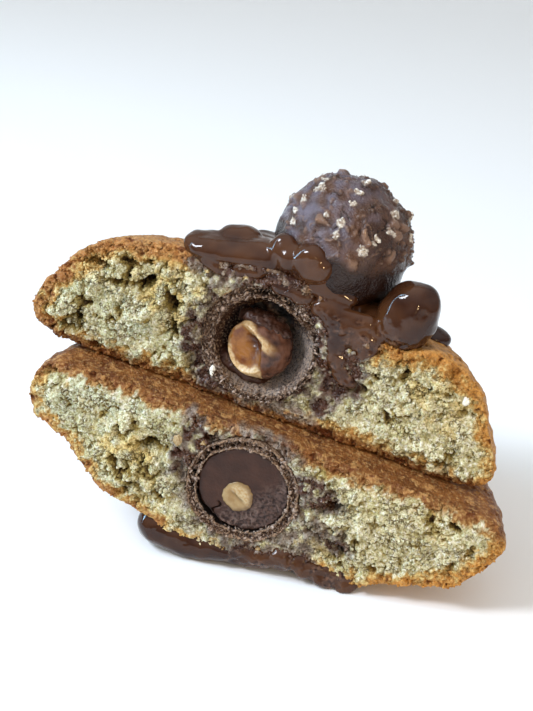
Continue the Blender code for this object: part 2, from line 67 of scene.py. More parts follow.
HALVES = {
    "lower": {
        "face_y": 0.0,
        "praline": (2.4, -13.3),
        "pocket": 11.7,
        "seed": 11.0,
        # how thick the browned part looks at the left and right end and along the base, in mm
        "crust": (1.7, 3.2, 1.6),
        # holes torn in the crumb: (x, z), (half length, half width), turn in degrees, extra depth
        "holes": [
            ((-19.6, -11.0), (2.6, 0.9), 12, 4.0), ((21.5, -9.1), (1.5, 1.0), 10, 3.4),
            ((25.2, -18.4), (1.6, 1.0), -50, 2.4), ((33.1, -20.4), (1.2, 0.9), 0, 2.4),
            ((-21.7, -20.5), (1.8, 0.7), -25, 1.8), ((-7.4, -4.3), (1.5, 1.0), 10, 2.6),
            ((-11.2, -13.8), (1.2, 1.8), 20, 1.8), ((-22.2, -24.0), (1.6, 0.8), 30, 1.6),
            ((45.4, -3.8), (1.6, 0.7), -20, 1.6), ((50.0, -7.7), (0.8, 1.6), 0, 1.2),
        ],
        # where the crumb broke apart instead of being cut by the knife: the same, with a strength
        "torn": [
            ((-19.0, -15.5), (10.0, 6.5), -25, 0.85), ((22.0, -13.0), (8.0, 8.0), 0, 0.5),
            ((40.0, -9.0), (11.0, 6.0), -15, 0.15), ((-46.0, -5.0), (6.0, 5.0), 0, 0.3),
        ],
        # buttery, yellower crumb: the same
        "buttery": [
            ((-22.0, -14.5), (8.0, 4.6), -25, 1.0), ((-14.0, -24.0), (6.0, 2.4), -30, 0.8),
            ((17.0, -21.0), (8.0, 3.0), 10, 0.8), ((43.0, -5.0), (5.0, 3.0), -20, 0.5),
        ],
        # crumb soaked by cream and chocolate: the same
        "stains": [
            ((-9.2, -4.6), (5.6, 3.0), -30, 1.0), ((-11.4, -11.6), (2.6, 5.6), 25, 0.85),
            ((16.8, -8.0), (6.6, 3.4), -20, 1.0), ((7.0, -1.8), (6.0, 1.2), -8, 0.45),
            ((9.5, -26.0), (9.5, 2.4), 4, 0.8), ((18.0, -25.6), (5.0, 2.6), 0, 0.9),
            ((24.4, -18.2), (2.8, 2.4), 20, 0.75), ((20.5, -15.6), (5.0, 2.0), -10, 0.45),
            ((16.0, -20.6), (4.4, 3.2), 0, 0.55), ((21.5, -16.4), (7.0, 4.2), -15, 0.5),
            ((2.4, -13.3), (13.2, 13.2), 0, 0.75),
        ],
    },
    "upper": {
        "face_y": 9.0,
        "praline": (-4.4, 15.6),
        "pocket": 12.0,
        "seed": 47.0,
        "crust": (3.2, 1.6, 2.2),
        "holes": [
            ((-40.1, 20.3), (2.8, 0.8), 8, 3.0), ((-36.3, 17.8), (1.4, 1.0), 0, 2.6),
            ((-30.4, 19.6), (2.2, 1.0), 35, 2.8), ((-24.4, 17.6), (1.0, 3.0), 25, 3.0),
            ((-22.0, 12.6), (0.9, 2.2), 25, 3.4), ((-30.6, 24.4), (0.9, 0.8), 0, 2.0),
            ((-33.9, 23.3), (2.4, 0.5), 8, 1.6), ((-27.3, 25.5), (0.8, 0.6), 0, 1.4),
            ((-42.9, 6.9), (1.5, 0.9), 10, 2.0), ((-37.4, 2.3), (1.6, 0.8), 0, 2.2),
            ((24.8, 10.2), (0.7, 1.3), 20, 1.0), ((34.7, 24.8), (1.8, 1.0), -35, 1.2),
            ((38.9, 3.9), (1.5, 0.7), 15, 2.6), ((17.6, 13.6), (2.2, 1.2), 20, 2.0),
        ],
        "torn": [
            ((-30.0, 19.0), (15.0, 7.0), 5, 1.0), ((-20.0, 17.0), (7.0, 9.0), 20, 0.9),
            ((-45.0, 7.5), (6.0, 6.0), 0, 0.9), ((26.0, 20.0), (13.0, 6.0), -20, 0.55),
            ((40.0, 5.0), (8.0, 4.0), 0, 0.4), ((-14.0, 3.0), (8.0, 3.0), -10, 0.5),
        ],
        "buttery": [
            ((-24.0, 19.0), (7.0, 7.0), -30, 0.95), ((-36.0, 21.0), (8.0, 3.0), 20, 0.6),
            ((34.0, 17.0), (9.0, 6.0), -20, 0.7), ((-16.0, 23.0), (4.0, 4.0), 0, 0.6),
        ],
        "stains": [
            ((-17.0, 28.0), (6.0, 2.4), 10, 0.7), ((-12.0, 27.5), (7.0, 4.6), -10, 0.6),
            ((-3.0, 29.8), (12.0, 4.2), -6, 0.95), ((9.0, 24.5), (9.0, 7.4), -50, 1.0),
            ((12.4, 18.4), (5.4, 5.4), 0, 1.0), ((13.6, 13.4), (5.2, 2.8), -15, 1.0),
            ((-17.4, 12.6), (2.6, 4.6), 12, 0.9), ((-12.6, 5.6), (6.0, 3.6), -30, 0.85),
            ((6.0, 3.4), (6.0, 2.0), 0, 0.5), ((12.2, 9.4), (2.8, 5.0), -10, 0.8),
            ((-4.4, 15.6), (14.0, 14.0), 0, 0.85),
        ],
    },
}

# Strokes of chocolate that run together, as in the part: each is drawn from lump to lump, and a
# lump is its middle and radii
UPPER_CHOCOLATE = [
    [  # the pool at the left, up to the cut edge
        ((-22.0, 12.6, 30.2), (3.2, 4.6, 2.3)), ((-17.6, 13.0, 31.0), (4.6, 5.2, 2.5)),
        ((-12.0, 13.2, 32.2), (4.8, 5.2, 2.5)), ((-8.4, 13.0, 33.2), (4.0, 4.6, 2.8)),
    ],
    [((-17.0, 15.4, 32.8), (2.4, 3.4, 2.3)), ((-13.6, 15.8, 33.5), (3.0, 3.4, 2.5))],  # its knob
    [  # the lobes in front of the whole praline
        ((-6.6, 12.6, 34.0), (3.2, 3.2, 3.0)), ((-2.4, 11.8, 33.8), (3.4, 3.0, 3.0)),
        ((2.2, 11.2, 32.6), (3.4, 2.8, 3.2)), ((6.4, 11.4, 31.0), (2.4, 2.2, 2.4)),
        ((9.4, 11.6, 30.2), (2.0, 2.0, 1.8)),
    ],
    [((-5.4, 11.2, 35.4), (3.3, 2.8, 3.3)), ((-4.4, 10.8, 35.0), (3.2, 2.8, 3.2))],
    [((0.6, 9.6, 36.2), (3.8, 3.0, 3.8)), ((1.6, 9.4, 35.4), (3.6, 2.8, 3.6))],
    [((22.2, 12.4, 31.2), (5.9, 5.4, 7.2)), ((21.8, 12.0, 29.4), (5.6, 5.2, 5.4))],  # the big bead
    [  # the ring round the whole praline
        ((-8.4, 13.6, 31.6), (5.0, 5.0, 2.6)), ((-9.6, 23.0, 29.6), (6.2, 7.0, 3.4)),
        ((-6.8, 31.0, 26.8), (6.8, 7.2, 3.4)), ((3.0, 35.4, 25.0), (8.0, 6.0, 3.2)),
        ((14.0, 32.0, 25.4), (7.6, 6.6, 3.2)), ((19.6, 22.0, 26.2), (7.0, 7.4, 3.4)),
        ((17.0, 15.6, 26.6), (6.0, 5.0, 3.2)),
    ],
    [((5.0, 22.0, 26.8), (12.5, 12.4, 4.6))],
    [((-5.0, 34.0, 24.4), (3.6, 4.0, 2.6)), ((-3.0, 42.4, 21.4), (3.2, 4.8, 2.4))],  # drips behind
    [((13.4, 33.0, 24.0), (4.0, 4.0, 2.6)), ((15.6, 39.6, 21.6), (3.2, 4.6, 2.4))],
    [((21.0, 22.8, 25.6), (4.0, 3.4, 2.6)), ((28.2, 23.6, 23.8), (4.2, 3.2, 2.2))],
    # what ran over the edge at the left
    [((-19.4, 9.8, 28.9), (2.2, 1.5, 1.4)), ((-16.6, 9.5, 28.1), (1.8, 1.2, 1.3))],
    [((-12.4, 9.5, 28.8), (2.0, 1.1, 1.2)), ((-9.6, 9.6, 29.6), (1.8, 1.2, 1.2))],
    [((-3.6, 9.5, 28.6), (2.2, 1.1, 1.4)), ((0.6, 9.6, 28.4), (2.4, 1.2, 1.5))],
    [  # smeared down the cut face
        ((6.4, 9.6, 27.2), (3.0, 1.9, 2.2)), ((11.2, 9.4, 26.0), (3.8, 2.0, 3.2)),
        ((14.6, 9.6, 25.8), (3.4, 2.2, 3.6)),
    ],
    [
        ((11.0, 9.4, 24.6), (3.4, 1.8, 3.0)), ((10.2, 9.3, 21.4), (2.4, 1.3, 2.4)),
        ((11.8, 9.2, 17.4), (1.9, 1.1, 1.8)), ((14.6, 9.2, 14.2), (2.2, 1.2, 1.5)),
    ],
    [((16.0, 9.6, 25.0), (3.2, 1.8, 3.0)), ((15.8, 9.4, 20.6), (2.4, 1.3, 2.4))],
]
LOWER_CHOCOLATE = [
    [  # along the cut edge
        ((-12.4, 4.4, -30.8), (5.0, 5.2, 4.8)), ((-6.4, 4.4, -31.6), (6.4, 5.4, 4.4)),
        ((1.2, 4.6, -30.0), (7.0, 5.6, 3.8)), ((8.2, 4.6, -28.4), (6.6, 5.4, 3.5)),
        ((15.0, 4.6, -26.4), (6.4, 5.4, 3.2)), ((22.0, 4.6, -26.0), (6.0, 5.4, 3.0)),
        ((28.2, 4.6, -25.4), (4.8, 5.2, 3.2)),
    ],
    # lumps that hang from the edge at the right
    [((14.6, 1.2, -25.4), (2.2, 2.2, 2.0)), ((16.4, 1.0, -26.2), (1.6, 1.8, 1.5))],
    [((19.8, 1.0, -26.8), (2.7, 2.1, 2.0))],
    [((24.8, 1.0, -27.0), (3.0, 2.2, 2.1))],
    [((29.6, 1.2, -26.8), (2.2, 2.0, 2.2))],
    [((5.0, 17.0, -29.2), (19.0, 14.5, 6.0))],  # the spread behind it, down to the floor
    [((19.0, 15.0, -26.2), (13.0, 12.0, 5.2)), ((29.6, 18.0, -23.6), (4.6, 5.4, 3.6))],
    [  # its uneven edge
        ((-8.0, 13.0, -29.2), (9.0, 10.0, 6.4)), ((-7.0, 26.0, -28.0), (7.0, 6.4, 6.6)),
        ((4.0, 31.0, -27.6), (9.0, 6.0, 6.0)), ((15.0, 28.0, -26.6), (7.6, 6.4, 5.4)),
    ],
]


# ---------------------------------------------------------------- numbers


def to_stack(points):
    """World metres to the stack's own frame, in mm."""
    return (np.asarray(points) / MM - STACK_AT) @ LEAN


def to_world(points):
    return (np.asarray(points) @ LEAN.T + STACK_AT) * MM


def ease(low, high, x):
    """Eases from 0 at low to 1 at high. High may be the smaller of the two."""
    t = np.clip((np.asarray(x, float) - low) / (high - low), 0, 1)
    return t * t * (3 - 2 * t)


def waves(points, size, seed):
    """Smooth noise from -1 to 1, with waves about this size in mm."""
    return np.array([noise.noise(Vector(p)) for p in points / size + seed])


def cells(points, size, seed):
    """For each point: how far it is from the middle of its cell, from 0 to about 1; how far from
    the cell's border, 0 on it; and the cell's own random number from 0 to 1."""
    result = np.empty((3, len(points)))
    for i, p in enumerate(points / size + seed):
        distances, middles = noise.voronoi(Vector(p))
        result[:, i] = distances[0], distances[1] - distances[0], noise.cell(middles[0] * 37.0)
    return result


def patch(x, z, middle, sizes, turn):
    """How far each place is from the middle of a turned ellipse: 1 on its edge."""
    a = math.radians(turn)
    u = ((x - middle[0]) * math.cos(a) + (z - middle[1]) * math.sin(a)) / sizes[0]
    v = ((z - middle[1]) * math.cos(a) - (x - middle[0]) * math.sin(a)) / sizes[1]
    return np.sqrt(u * u + v * v)


STROKE_STEPS = 6  # from each lump of a stroke to the next


def drawn_out(strokes):
    """The lumps of all the strokes, each stroke drawn out evenly from its first to its last."""
    result = []
    for lumps in strokes:
        result.append(np.array(lumps[0]))
        for start, end in zip(lumps, lumps[1:]):
            for t in np.arange(1, STROKE_STEPS + 1) / STROKE_STEPS:
                result.append(np.array(start) * (1 - t) + np.array(end) * t)
    return result


# ---------------------------------------------------------------- meshes


def read_mesh(mesh):
    """(points in the stack's frame in mm, normals in that frame)"""
    count = len(mesh.vertices)
    points, normals = np.empty(count * 3), np.empty(count * 3)
    mesh.vertices.foreach_get("co", points)
    mesh.vertex_normals.foreach_get("vector", normals)
    return to_stack(points.reshape(-1, 3)), normals.reshape(-1, 3) @ LEAN


def write_points(mesh, points):
    """Moves the mesh's points. None of them goes below the floor."""
    world = to_world(points)
    world[:, 2] = np.maximum(world[:, 2], 0.0)
    mesh.vertices.foreach_set("co", world.astype(np.float32).ravel())
    mesh.update()


def write_marks(mesh, **marks):
    """Attributes of the mesh, from 0 to 1, which the materials and scatters read: each is one
    number, or one for every point."""
    for name, values in marks.items():
        values = np.broadcast_to(np.clip(values, 0, 1), len(mesh.vertices)).astype(np.float32)
        mesh.attributes.new(name, "FLOAT", "POINT").data.foreach_set("value", values)


def new_object(name, data):
    obj = bpy.data.objects.new(name, data)
    bpy.context.scene.collection.objects.link(obj)
    return obj


def finished_mesh(obj, name):
    """The mesh that the object's modifiers make; the object is removed."""
    bpy.context.view_layer.update()
    depsgraph = bpy.context.evaluated_depsgraph_get()
    mesh = bpy.data.meshes.new_from_object(obj.evaluated_get(depsgraph))
    bpy.data.objects.remove(obj)
    mesh.name = name
    return mesh


def modified(name, mesh, **modifiers):
    """The mesh after these modifiers, each of which has its settings in a dict."""
    obj = new_object(name, mesh)
    for kind, settings in modifiers.items():
        modifier = obj.modifiers.new(kind, kind)
        for setting, value in settings.items():
            setattr(modifier, setting, value)
    return finished_mesh(obj, name)


def shell(name, points, faces):
    """A mesh from points in the stack's frame."""
    mesh = bpy.data.meshes.new(name)
    mesh.from_pydata(to_world(points).tolist(), [], [tuple(f) for f in faces])
    mesh.validate()
    return mesh


def even_net(mesh, size, smooth_steps, name):
    """The mesh's shape as a net of even small faces of this size in mm."""
    return modified(
        name, mesh,
        REMESH={"mode": "VOXEL", "voxel_size": size * MM},
        SMOOTH={"factor": 0.5, "iterations": smooth_steps},
    )


def add_piece(name, mesh, material, replaced=()):
    mesh.materials.clear()
    mesh.materials.append(material)
    mesh.shade_smooth()
    obj = new_object(name, mesh)
    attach(obj, BODY)
    if replaced:
        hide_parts(*replaced)
    return obj


LUMP_SIDES, LUMP_RINGS = 28, 16  # points round an ellipsoid, and steps from its top to its foot


def joined_lumps(name, strokes, size, smooth_steps):
    """Strokes of ellipsoids run together into one closed skin with faces of this size in mm."""
    points, faces = [], []
    for middle, radii in drawn_out(strokes):
        first = len(points)
        for i in range(1, LUMP_RINGS):
            for j in range(LUMP_SIDES):
                a, b = math.pi * i / LUMP_RINGS, 2 * math.pi * j / LUMP_SIDES
                way = (math.sin(a) * math.cos(b), math.sin(a) * math.sin(b), math.cos(a))
                points.append([m + r * w for m, r, w in zip(middle, radii, way)])
        top, bottom = len(points), len(points) + 1
        points.append([middle[0], middle[1], middle[2] + radii[2]])
        points.append([middle[0], middle[1], middle[2] - radii[2]])
        last = first + (LUMP_RINGS - 2) * LUMP_SIDES
        for j in range(LUMP_SIDES):
            k = (j + 1) % LUMP_SIDES
            faces.append((top, first + j, first + k))
            faces.append((bottom, last + k, last + j))
            for a in range(first, last, LUMP_SIDES):
                b = a + LUMP_SIDES
                faces.append((a + j, b + j, b + k, a + k))
    return even_net(shell(name, np.array(points), faces), size, smooth_steps, name)


def lathe(name, profile, sides, move):
    """A closed form turned about an axis along y. The profile's first and last steps lie on the
    axis. move(step, y, angle) gives the (x, y, z) of a ring's points, and their marks."""
    angles = np.arange(sides) * 2 * math.pi / sides
    rings = [move(step, y, angles) for step, y in profile[1:-1]]
    rings += [move(step, y, angles[:1]) for step, y in (profile[0], profile[-1])]
    points = np.concatenate([np.stack(places, axis=1) for places, _ in rings])
    faces = []
    last = (len(profile) - 3) * sides
    first_end, last_end = last + sides, last + sides + 1
    for j in range(sides):
        k = (j + 1) % sides
        faces.append((first_end, k, j))
        faces.append((last_end, last + j, last + k))
        for a in range(0, last, sides):
            b = a + sides
            faces.append((a + j, a + k, b + k, b + j))
    mesh = shell(name, points, faces)
    marks = {mark: np.concatenate([found[mark] for _, found in rings]) for mark in rings[0][1]}
    write_marks(mesh, **marks)
    return mesh


# ---------------------------------------------------------------- materials


def linear(code):
    """An sRGB hex colour as linear RGBA."""
    values = [int(code[i : i + 2], 16) / 255 for i in (1, 3, 5)]
    return (*[v / 12.92 if v <= 0.04045 else ((v + 0.055) / 1.055) ** 2.4 for v in values], 1)


def add(tree, kind, inputs=(), out=0, **settings):
    """Adds a node with its settings, and gives one of its outputs. The inputs are a tuple in the
    node's own order or a dict, and each of them is a value or another node's output."""
    node = tree.nodes.new(kind)
    for name, value in settings.items():
        setattr(node, name, value)
    for name, value in inputs.items() if isinstance(inputs, dict) else enumerate(inputs):
        if isinstance(value, bpy.types.NodeSocket):
            tree.links.new(value, node.inputs[name])
        else:
            node.inputs[name].default_value = value
    return node.outputs[out]


MIX_A, MIX_B, MIX_RESULT = 6, 7, 2  # the colour sockets of a Mix node


def start_material(name, roughness, ior, marks=(), **grains):
    """A new material: (material, its tree, its shader, its sockets by name). The sockets are its
    place, in object coordinates; its marks, which are attributes of the mesh; and its grains,
    noise from 0 to 1, each given as (size in mm, detail)."""
    material = bpy.data.materials.new(name)
    material.use_nodes = True
    tree = material.node_tree
    shader = tree.nodes["Principled BSDF"]
    shader.inputs["Roughness"].default_value = roughness
    shader.inputs["IOR"].default_value = ior
    sockets = {"place": add(tree, "ShaderNodeTexCoord", out="Object")}
    for mark in marks:
        sockets[mark] = add(tree, "ShaderNodeAttribute", out="Fac", attribute_name=mark)
    for grain, (size, detail) in grains.items():
        inputs = {"Vector": sockets["place"], "Scale": 1 / (size * MM), "Detail": detail}
        sockets[grain] = add(tree, "ShaderNodeTexNoise", inputs, "Fac")
    return material, tree, shader, sockets


def layered(tree, s, colour, *layers):
    """A colour with others laid over it. A layer is (socket, low, high, share, colour): it isn't
    there where the socket is low, and covers this share where it is high. A colour is a hex code
    or a socket, and s has the sockets that are given by name."""
    colour = linear(colour) if isinstance(colour, str) else colour
    for socket, low, high, share, over in layers:
        socket = s[socket] if isinstance(socket, str) else socket
        part = add(tree, "ShaderNodeMapRange", (socket, low, high, 0.0, share))
        inputs = {0: part, MIX_A: colour, MIX_B: linear(over) if isinstance(over, str) else over}
        colour = add(tree, "ShaderNodeMix", inputs, MIX_RESULT, data_type="RGBA")
    return colour


def finish_material(tree, shader, colour, height, depth, strength=1.0, roughness=None):
    """Gives the shader its colour, a relief of this depth in mm where the height is 1, and its
    roughness where that varies."""
    inputs = {"Height": height, "Distance": depth * MM, "Strength": strength}
    tree.links.new(add(tree, "ShaderNodeBump", inputs), shader.inputs["Normal"])
    tree.links.new(colour, shader.inputs["Base Color"])
    if roughness:
        tree.links.new(roughness, shader.inputs["Roughness"])


def cracks(tree, place, size, width):
    """Thin crooked cracks round clumps of this size in mm, as a socket from 0 to 1."""
    inputs = {"Vector": place, "Scale": 1 / (0.4 * size * MM), "Detail": 2.0}
    bend = add(tree, "ShaderNodeTexNoise", inputs, "Color")
    inputs = (bend, (0.7 * size * MM,) * 3, place)
    bent = add(tree, "ShaderNodeVectorMath", inputs, operation="MULTIPLY_ADD")
    inputs = {"Vector": bent, "Scale": 1 / (size * MM)}
    edge = add(tree, "ShaderNodeTexVoronoi", inputs, "Distance", feature="DISTANCE_TO_EDGE")
    return add(tree, "ShaderNodeMapRange", (edge, width, 0.3 * width))


def crumb_inside(tree, s, split):
    """Pale straw with buttery patches; painted highlight where it stands out, painted shade in the
    pits.
    """
    return layered(
        tree, s, "#C6CCAF",
        ("warm", 0, 1, 1, "#CEC59C"),
        ("broad", 0.42, 0.60, 0.45, "#D0C587"),
        ("small", 0.46, 0.36, 0.65, "#A39A66"),
        # painted highlight: paler where the crumb stands out
        ("raised", 0.2, 0.8, 0.7, "#E6E0BA"),
        ("fine", 0.54, 0.62, 0.65, "#F4F1E4"),
        ("buttery", 0, 1, 1, "#E2C67C"),
        ("fine", 0.45, 0.38, 0.55, "#9C945C"),
        ("dust", 0.43, 0.37, 0.5, "#756A3C"),
        # painted shade in the hair cracks
        (split, 0, 1, 1, "#745F34"),
        # painted shade in the pits, crevices, holes and cracks, golden to near black with depth
        ("shut", 0.15, 0.6, 1, "#AA9656"),
        ("shut", 0.55, 1.1, 1, "#5E441E"),
        ("shut", 0.88, 1.0, 0.8, "#2E1C0A"),
    )


def crumb_crust(tree, s):
    """Golden on the domes, redder and darker on the bases, with painted shade in the pinholes and
    pits.
    """
    dome = layered(
        tree, s, "#C69052",
        ("small", 0.40, 0.60, 1, "#A86E38"),
        ("broad", 0.48, 0.62, 0.5, "#8E562A"),
        ("warm", 0.5, 1.0, 0.75, "#D2933E"),
    )
    under = layered(
        tree, s, "#9C6634",
        ("blotch", 0.40, 0.60, 1, "#6C3E1E"),
        ("warm", 0.5, 1.0, 0.5, "#7E4A1E"),
        ("small", 0.56, 0.66, 0.5, "#B98350"),
    )
    return layered(
        tree, s, dome,
        ("base", 0, 1, 1, under),
        ("small", 0.55, 0.63, 0.4, "#CF9C5C"),
        ("small", 0.44, 0.36, 0.4, "#6A3A16"),
        ("fine", 0.54, 0.64, 0.35, "#DDB476"),
        ("fine", 0.45, 0.38, 0.4, "#5E3314"),
        # painted shade in the pinholes and pits
        ("shut", 0.2, 0.8, 0.9, "#6A3510"),
    )


def crumb_material():
    """Baked butter crumb: matt and granular, pale inside, browned outside, and dark and moist
    where cream or chocolate has soaked in, with painted shade in its hollows and a painted
    highlight where it stands out."""
    material, tree, shader, s = start_material(
        "baked_crumb", 0.85, 1.35,
        ("browned", "base", "warm", "soaked", "shut", "raised", "buttery"),
        broad=(9.0, 3.0), blotch=(4.5, 3.0), opening=(4.0, 3.0), small=(2.2, 3.0),
        fine=(0.7, 3.0), dust=(0.35, 3.0),
    )
    open_here = add(tree, "ShaderNodeMapRange", (s["opening"], 0.48, 0.56, 0.0, 0.85))
    split = cracks(tree, s["place"], 1.7, 0.075)
    split = add(tree, "ShaderNodeMath", (split, open_here), operation="MULTIPLY")

    brown = layered(tree, s, "#845628", ("fine", 0.42, 0.60, 1, "#B48952"))
    golden = layered(
        tree, s, "#BC8E48",
        ("fine", 0.42, 0.60, 1, "#E0C684"), ("base", 0.2, 1.0, 1, brown),
    )
    damp = layered(
        tree, s, "#6B5C50",
        ("small", 0.40, 0.60, 1, "#A3978A"), ("fine", 0.45, 0.38, 0.7, "#3C2C20"),
    )
    moist = layered(
        tree, s, "#371F17",
        ("small", 0.38, 0.60, 1, "#5A3E31"), ("fine", 0.56, 0.66, 0.6, "#8A7568"),
    )
    colour = layered(
        tree, s, crumb_inside(tree, s, split),
        ("browned", 0.05, 0.45, 1, golden),
        ("browned", 0.55, 0.98, 1, crumb_crust(tree, s)),
        ("soaked", 0.05, 0.5, 0.9, damp),
        ("soaked", 0.5, 0.9, 1, moist),
    )

    dry = add(tree, "ShaderNodeMapRange", (s["browned"], 0.3, 0.9, 0.85, 0.45))
    wetness = add(tree, "ShaderNodeMapRange", (s["soaked"], 0.2, 0.8, 1.0, 0.1))
    gloss = add(tree, "ShaderNodeMath", (dry, wetness), operation="MULTIPLY")
    grit = add(tree, "ShaderNodeMath", (s["fine"], s["dust"]), operation="ADD")
    grit = add(tree, "ShaderNodeMath", (grit, split), operation="SUBTRACT")
    film = add(tree, "ShaderNodeMapRange", (s["soaked"], 0.4, 0.85, 1.0, 0.25))
    finish_material(tree, shader, colour, grit, 0.32, strength=film, roughness=gloss)
    return material


def chocolate_material():
    """Melted milk and dark chocolate that has set: dark brown, smooth and glossy, and rough with
    crumbs where it runs down the cut face."""
    material, tree, shader, s = start_material(
        "melted_chocolate", 0.2, 1.4, ("crumbed",),
        tone=(9.0, 2.0), film=(3.0, 3.0), swell=(2.4, 2.0), fine=(0.8, 3.0),
    )
    crumbs = layered(tree, s, "#2A160E", ("fine", 0.40, 0.62, 1, "#654838"))
    colour = layered(
        tree, s, "#2F170C", ("tone", 0.38, 0.64, 1, "#4D2E19"), ("crumbed", 0, 1, 1, crumbs)
    )
    gloss = add(tree, "ShaderNodeMapRange", (s["film"], 0.35, 0.7, 0.05, 0.14))
    finish_material(tree, shader, colour, s["swell"], 0.14, roughness=gloss)
    return material


def coating_material():
    """Milk chocolate coating over chopped nuts: satin, with a painted grey sheen, the sky's
    reflection, on its upper left side, painted highlights on its ridges and chips, painted shade in
    its creases, and dark and glossy where it was dipped in melted chocolate."""
    material, tree, shader, s = start_material(
        "nut_coating", 0.4, 1.42, ("bloom", "ridge", "shut", "dipped", "bare_nut"),
        tone=(5.0, 3.0), film=(1.8, 3.0), wrinkle=(1.0, 2.0), nut=(0.7, 2.0), fine=(0.4, 2.0),
    )
    nut = layered(tree, s, "#8F7A68", ("nut", 0.38, 0.62, 1, "#DCD3C4"))
    colour = layered(
        tree, s, "#3A2216",
        ("tone", 0.40, 0.60, 1, "#583A28"),
        # painted sheen: the sky's reflection on the upper left side
        ("bloom", 0, 1, 1, "#635A63"),
        # painted highlight on the chips, bits and ridges that stand out
        ("ridge", 0, 1, 1, "#8A6A54"),
        # painted shade in the creases
        ("shut", 0, 1, 1, "#1C0E08"),
        ("dipped", 0, 1, 1, "#24120A"),
        ("bare_nut", 0, 1, 1, nut),
    )
    gloss = add(tree, "ShaderNodeMapRange", (s["film"], 0.35, 0.68, 0.05, 0.2))
    skin = add(tree, "ShaderNodeMath", (s["wrinkle"], s["fine"]), operation="ADD")
    finish_material(tree, shader, colour, skin, 0.34, roughness=gloss)
    return material


def wafer_material():
    """Thin cocoa wafer, baked crisp and soaked by the cream: matt, brown, with pale edges, and
    painted near-black shade in its gaps and hollow inside.
    """
    material, tree, shader, s = start_material(
        "cocoa_wafer", 0.6, 1.35, ("lining", "pale_edge", "shut"),
        small=(1.1, 3.0), fine=(0.4, 2.0),
    )
    colour = layered(
        tree, s, "#3A2419",
        ("small", 0.36, 0.62, 1, "#5C4130"),
        ("lining", 0.0, 0.5, 1, "#3F2317"),
        ("lining", 0.5, 1.0, 1, "#948880"),
        ("pale_edge", 0, 1, 1, "#8F745C"),
        ("fine", 0.54, 0.66, 0.8, "#B0967C"),
        ("fine", 0.48, 0.37, 0.8, "#1C0F09"),
        # painted shade, near black, in the gaps and the hollow inside
        ("shut", 0, 1, 1, "#120906"),
    )
    finish_material(tree, shader, colour, s["fine"], 0.3)
    return material


def cream_material():
    """Hazelnut cream, cut with a knife: dark purple-brown and satin, with thin pale scrapes where
    it was smeared."""
    material, tree, shader, s = start_material(
        "hazelnut_cream", 0.4, 1.35, ("shade", "smeared"),
        tone=(3.4, 3.0), swirl=(2.2, 2.0), fine=(0.6, 3.0),
    )
    centred = add(tree, "ShaderNodeMath", (s["swirl"], 0.5), operation="SUBTRACT")
    side = add(tree, "ShaderNodeMath", (centred,), operation="ABSOLUTE")
    lines = add(tree, "ShaderNodeMapRange", (side, 0.06, 0.018))
    some = add(tree, "ShaderNodeMapRange", (s["tone"], 0.42, 0.56, 0.0, 0.5))
    scrapes = add(tree, "ShaderNodeMath", (lines, some), operation="MULTIPLY")
    smeared = layered(
        tree, s, "#24130C", ("fine", 0.38, 0.62, 1, "#523D36"), (scrapes, 0, 1, 1, "#7C665C")
    )
    colour = layered(
        tree, s, "#321B11",
        ("tone", 0.36, 0.66, 1, "#402519"),
        ("shade", 0, 1, 1, "#100805"),
        ("smeared", 0, 1, 1, smeared),
    )
    finish_material(tree, shader, colour, s["fine"], 0.12)
    return material


def nut_material(name, flesh, golden, skin, pale):
    """Hazelnut: oily satin flesh, cream at broken edges and where a highlight is painted, with thin
    papery brown skin.
    """
    material, tree, shader, s = start_material(
        name, 0.26, 1.45, ("shade", "pale_edge", "skin"), tone=(2.2, 3.0), fine=(0.5, 2.0)
    )
    edge = layered(tree, s, "#B58E58", ("fine", 0.36, 0.60, 1, pale))
    paper = layered(tree, s, skin, ("tone", 0.35, 0.65, 1, "#6E4836"))
    colour = layered(
        tree, s, flesh,
        ("tone", 0.38, 0.64, 1, golden),
        ("shade", 0, 1, 1, "#44200B"),
        # pale broken edges, and painted highlights where the mark carries them
        ("pale_edge", 0, 1, 1, edge),
        ("skin", 0, 1, 1, paper),
    )
    finish_material(tree, shader, colour, s["fine"], 0.08)
    return material


def dry_material(name, low, high, size, roughness):
    """Sugar, chopped nut or wafer flakes: crisp and dry, in two tones, patchy at this size in
    mm."""
    material, tree, shader, s = start_material(
        name, roughness, 1.45, tone=(size, 2.0), fine=(size / 3, 2.0)
    )
    colour = layered(tree, s, low, ("tone", 0.35, 0.65, 1, high))
    finish_material(tree, shader, colour, s["fine"], 0.05)
    return material


# ---------------------------------------------------------------- the crumb


CRUST_NET = 0.45  # size of the crust's faces in mm; those of the cut face are half as large
CRUMB_TRIANGLES = 195000


def pull(patches, sample, seed, ragged=0.3, size=2.6, fade=0.35):
    """The strongest of some patches at each place, with ragged edges."""
    edge = ragged * waves(sample, size, seed)
    strongest = np.zeros(len(sample))
    for middle, sizes, turn, strength in patches:
        near = patch(sample[:, 0], sample[:, 2], middle, sizes, turn) + edge
        strongest = np.maximum(strongest, strength * ease(1 + fade / 2, 1 - fade / 2, near))
    return strongest


def off_praline(half, points):
    """How far points lie from the praline's axis, in mm."""
    middle_x, middle_z = half["praline"]
    return np.hypot(points[:, 0] - middle_x, points[:, 2] - middle_z)


def cut_face_share(half, points, normals):
    """1 on the cut face, 0 on the crust; and which points lie in the praline's pocket."""
    from_praline, back = off_praline(half, points), points[:, 1] - half["face_y"]
    in_pocket = (from_praline < half["pocket"]) & (back > 1.2)
    in_pocket = in_pocket & (np.hypot(from_praline, back) < half["pocket"] + 1.5)
    share = ease(0.25, 0.6, -normals[:, 1]) * (back < 6.5) * ~in_pocket
    return share, in_pocket


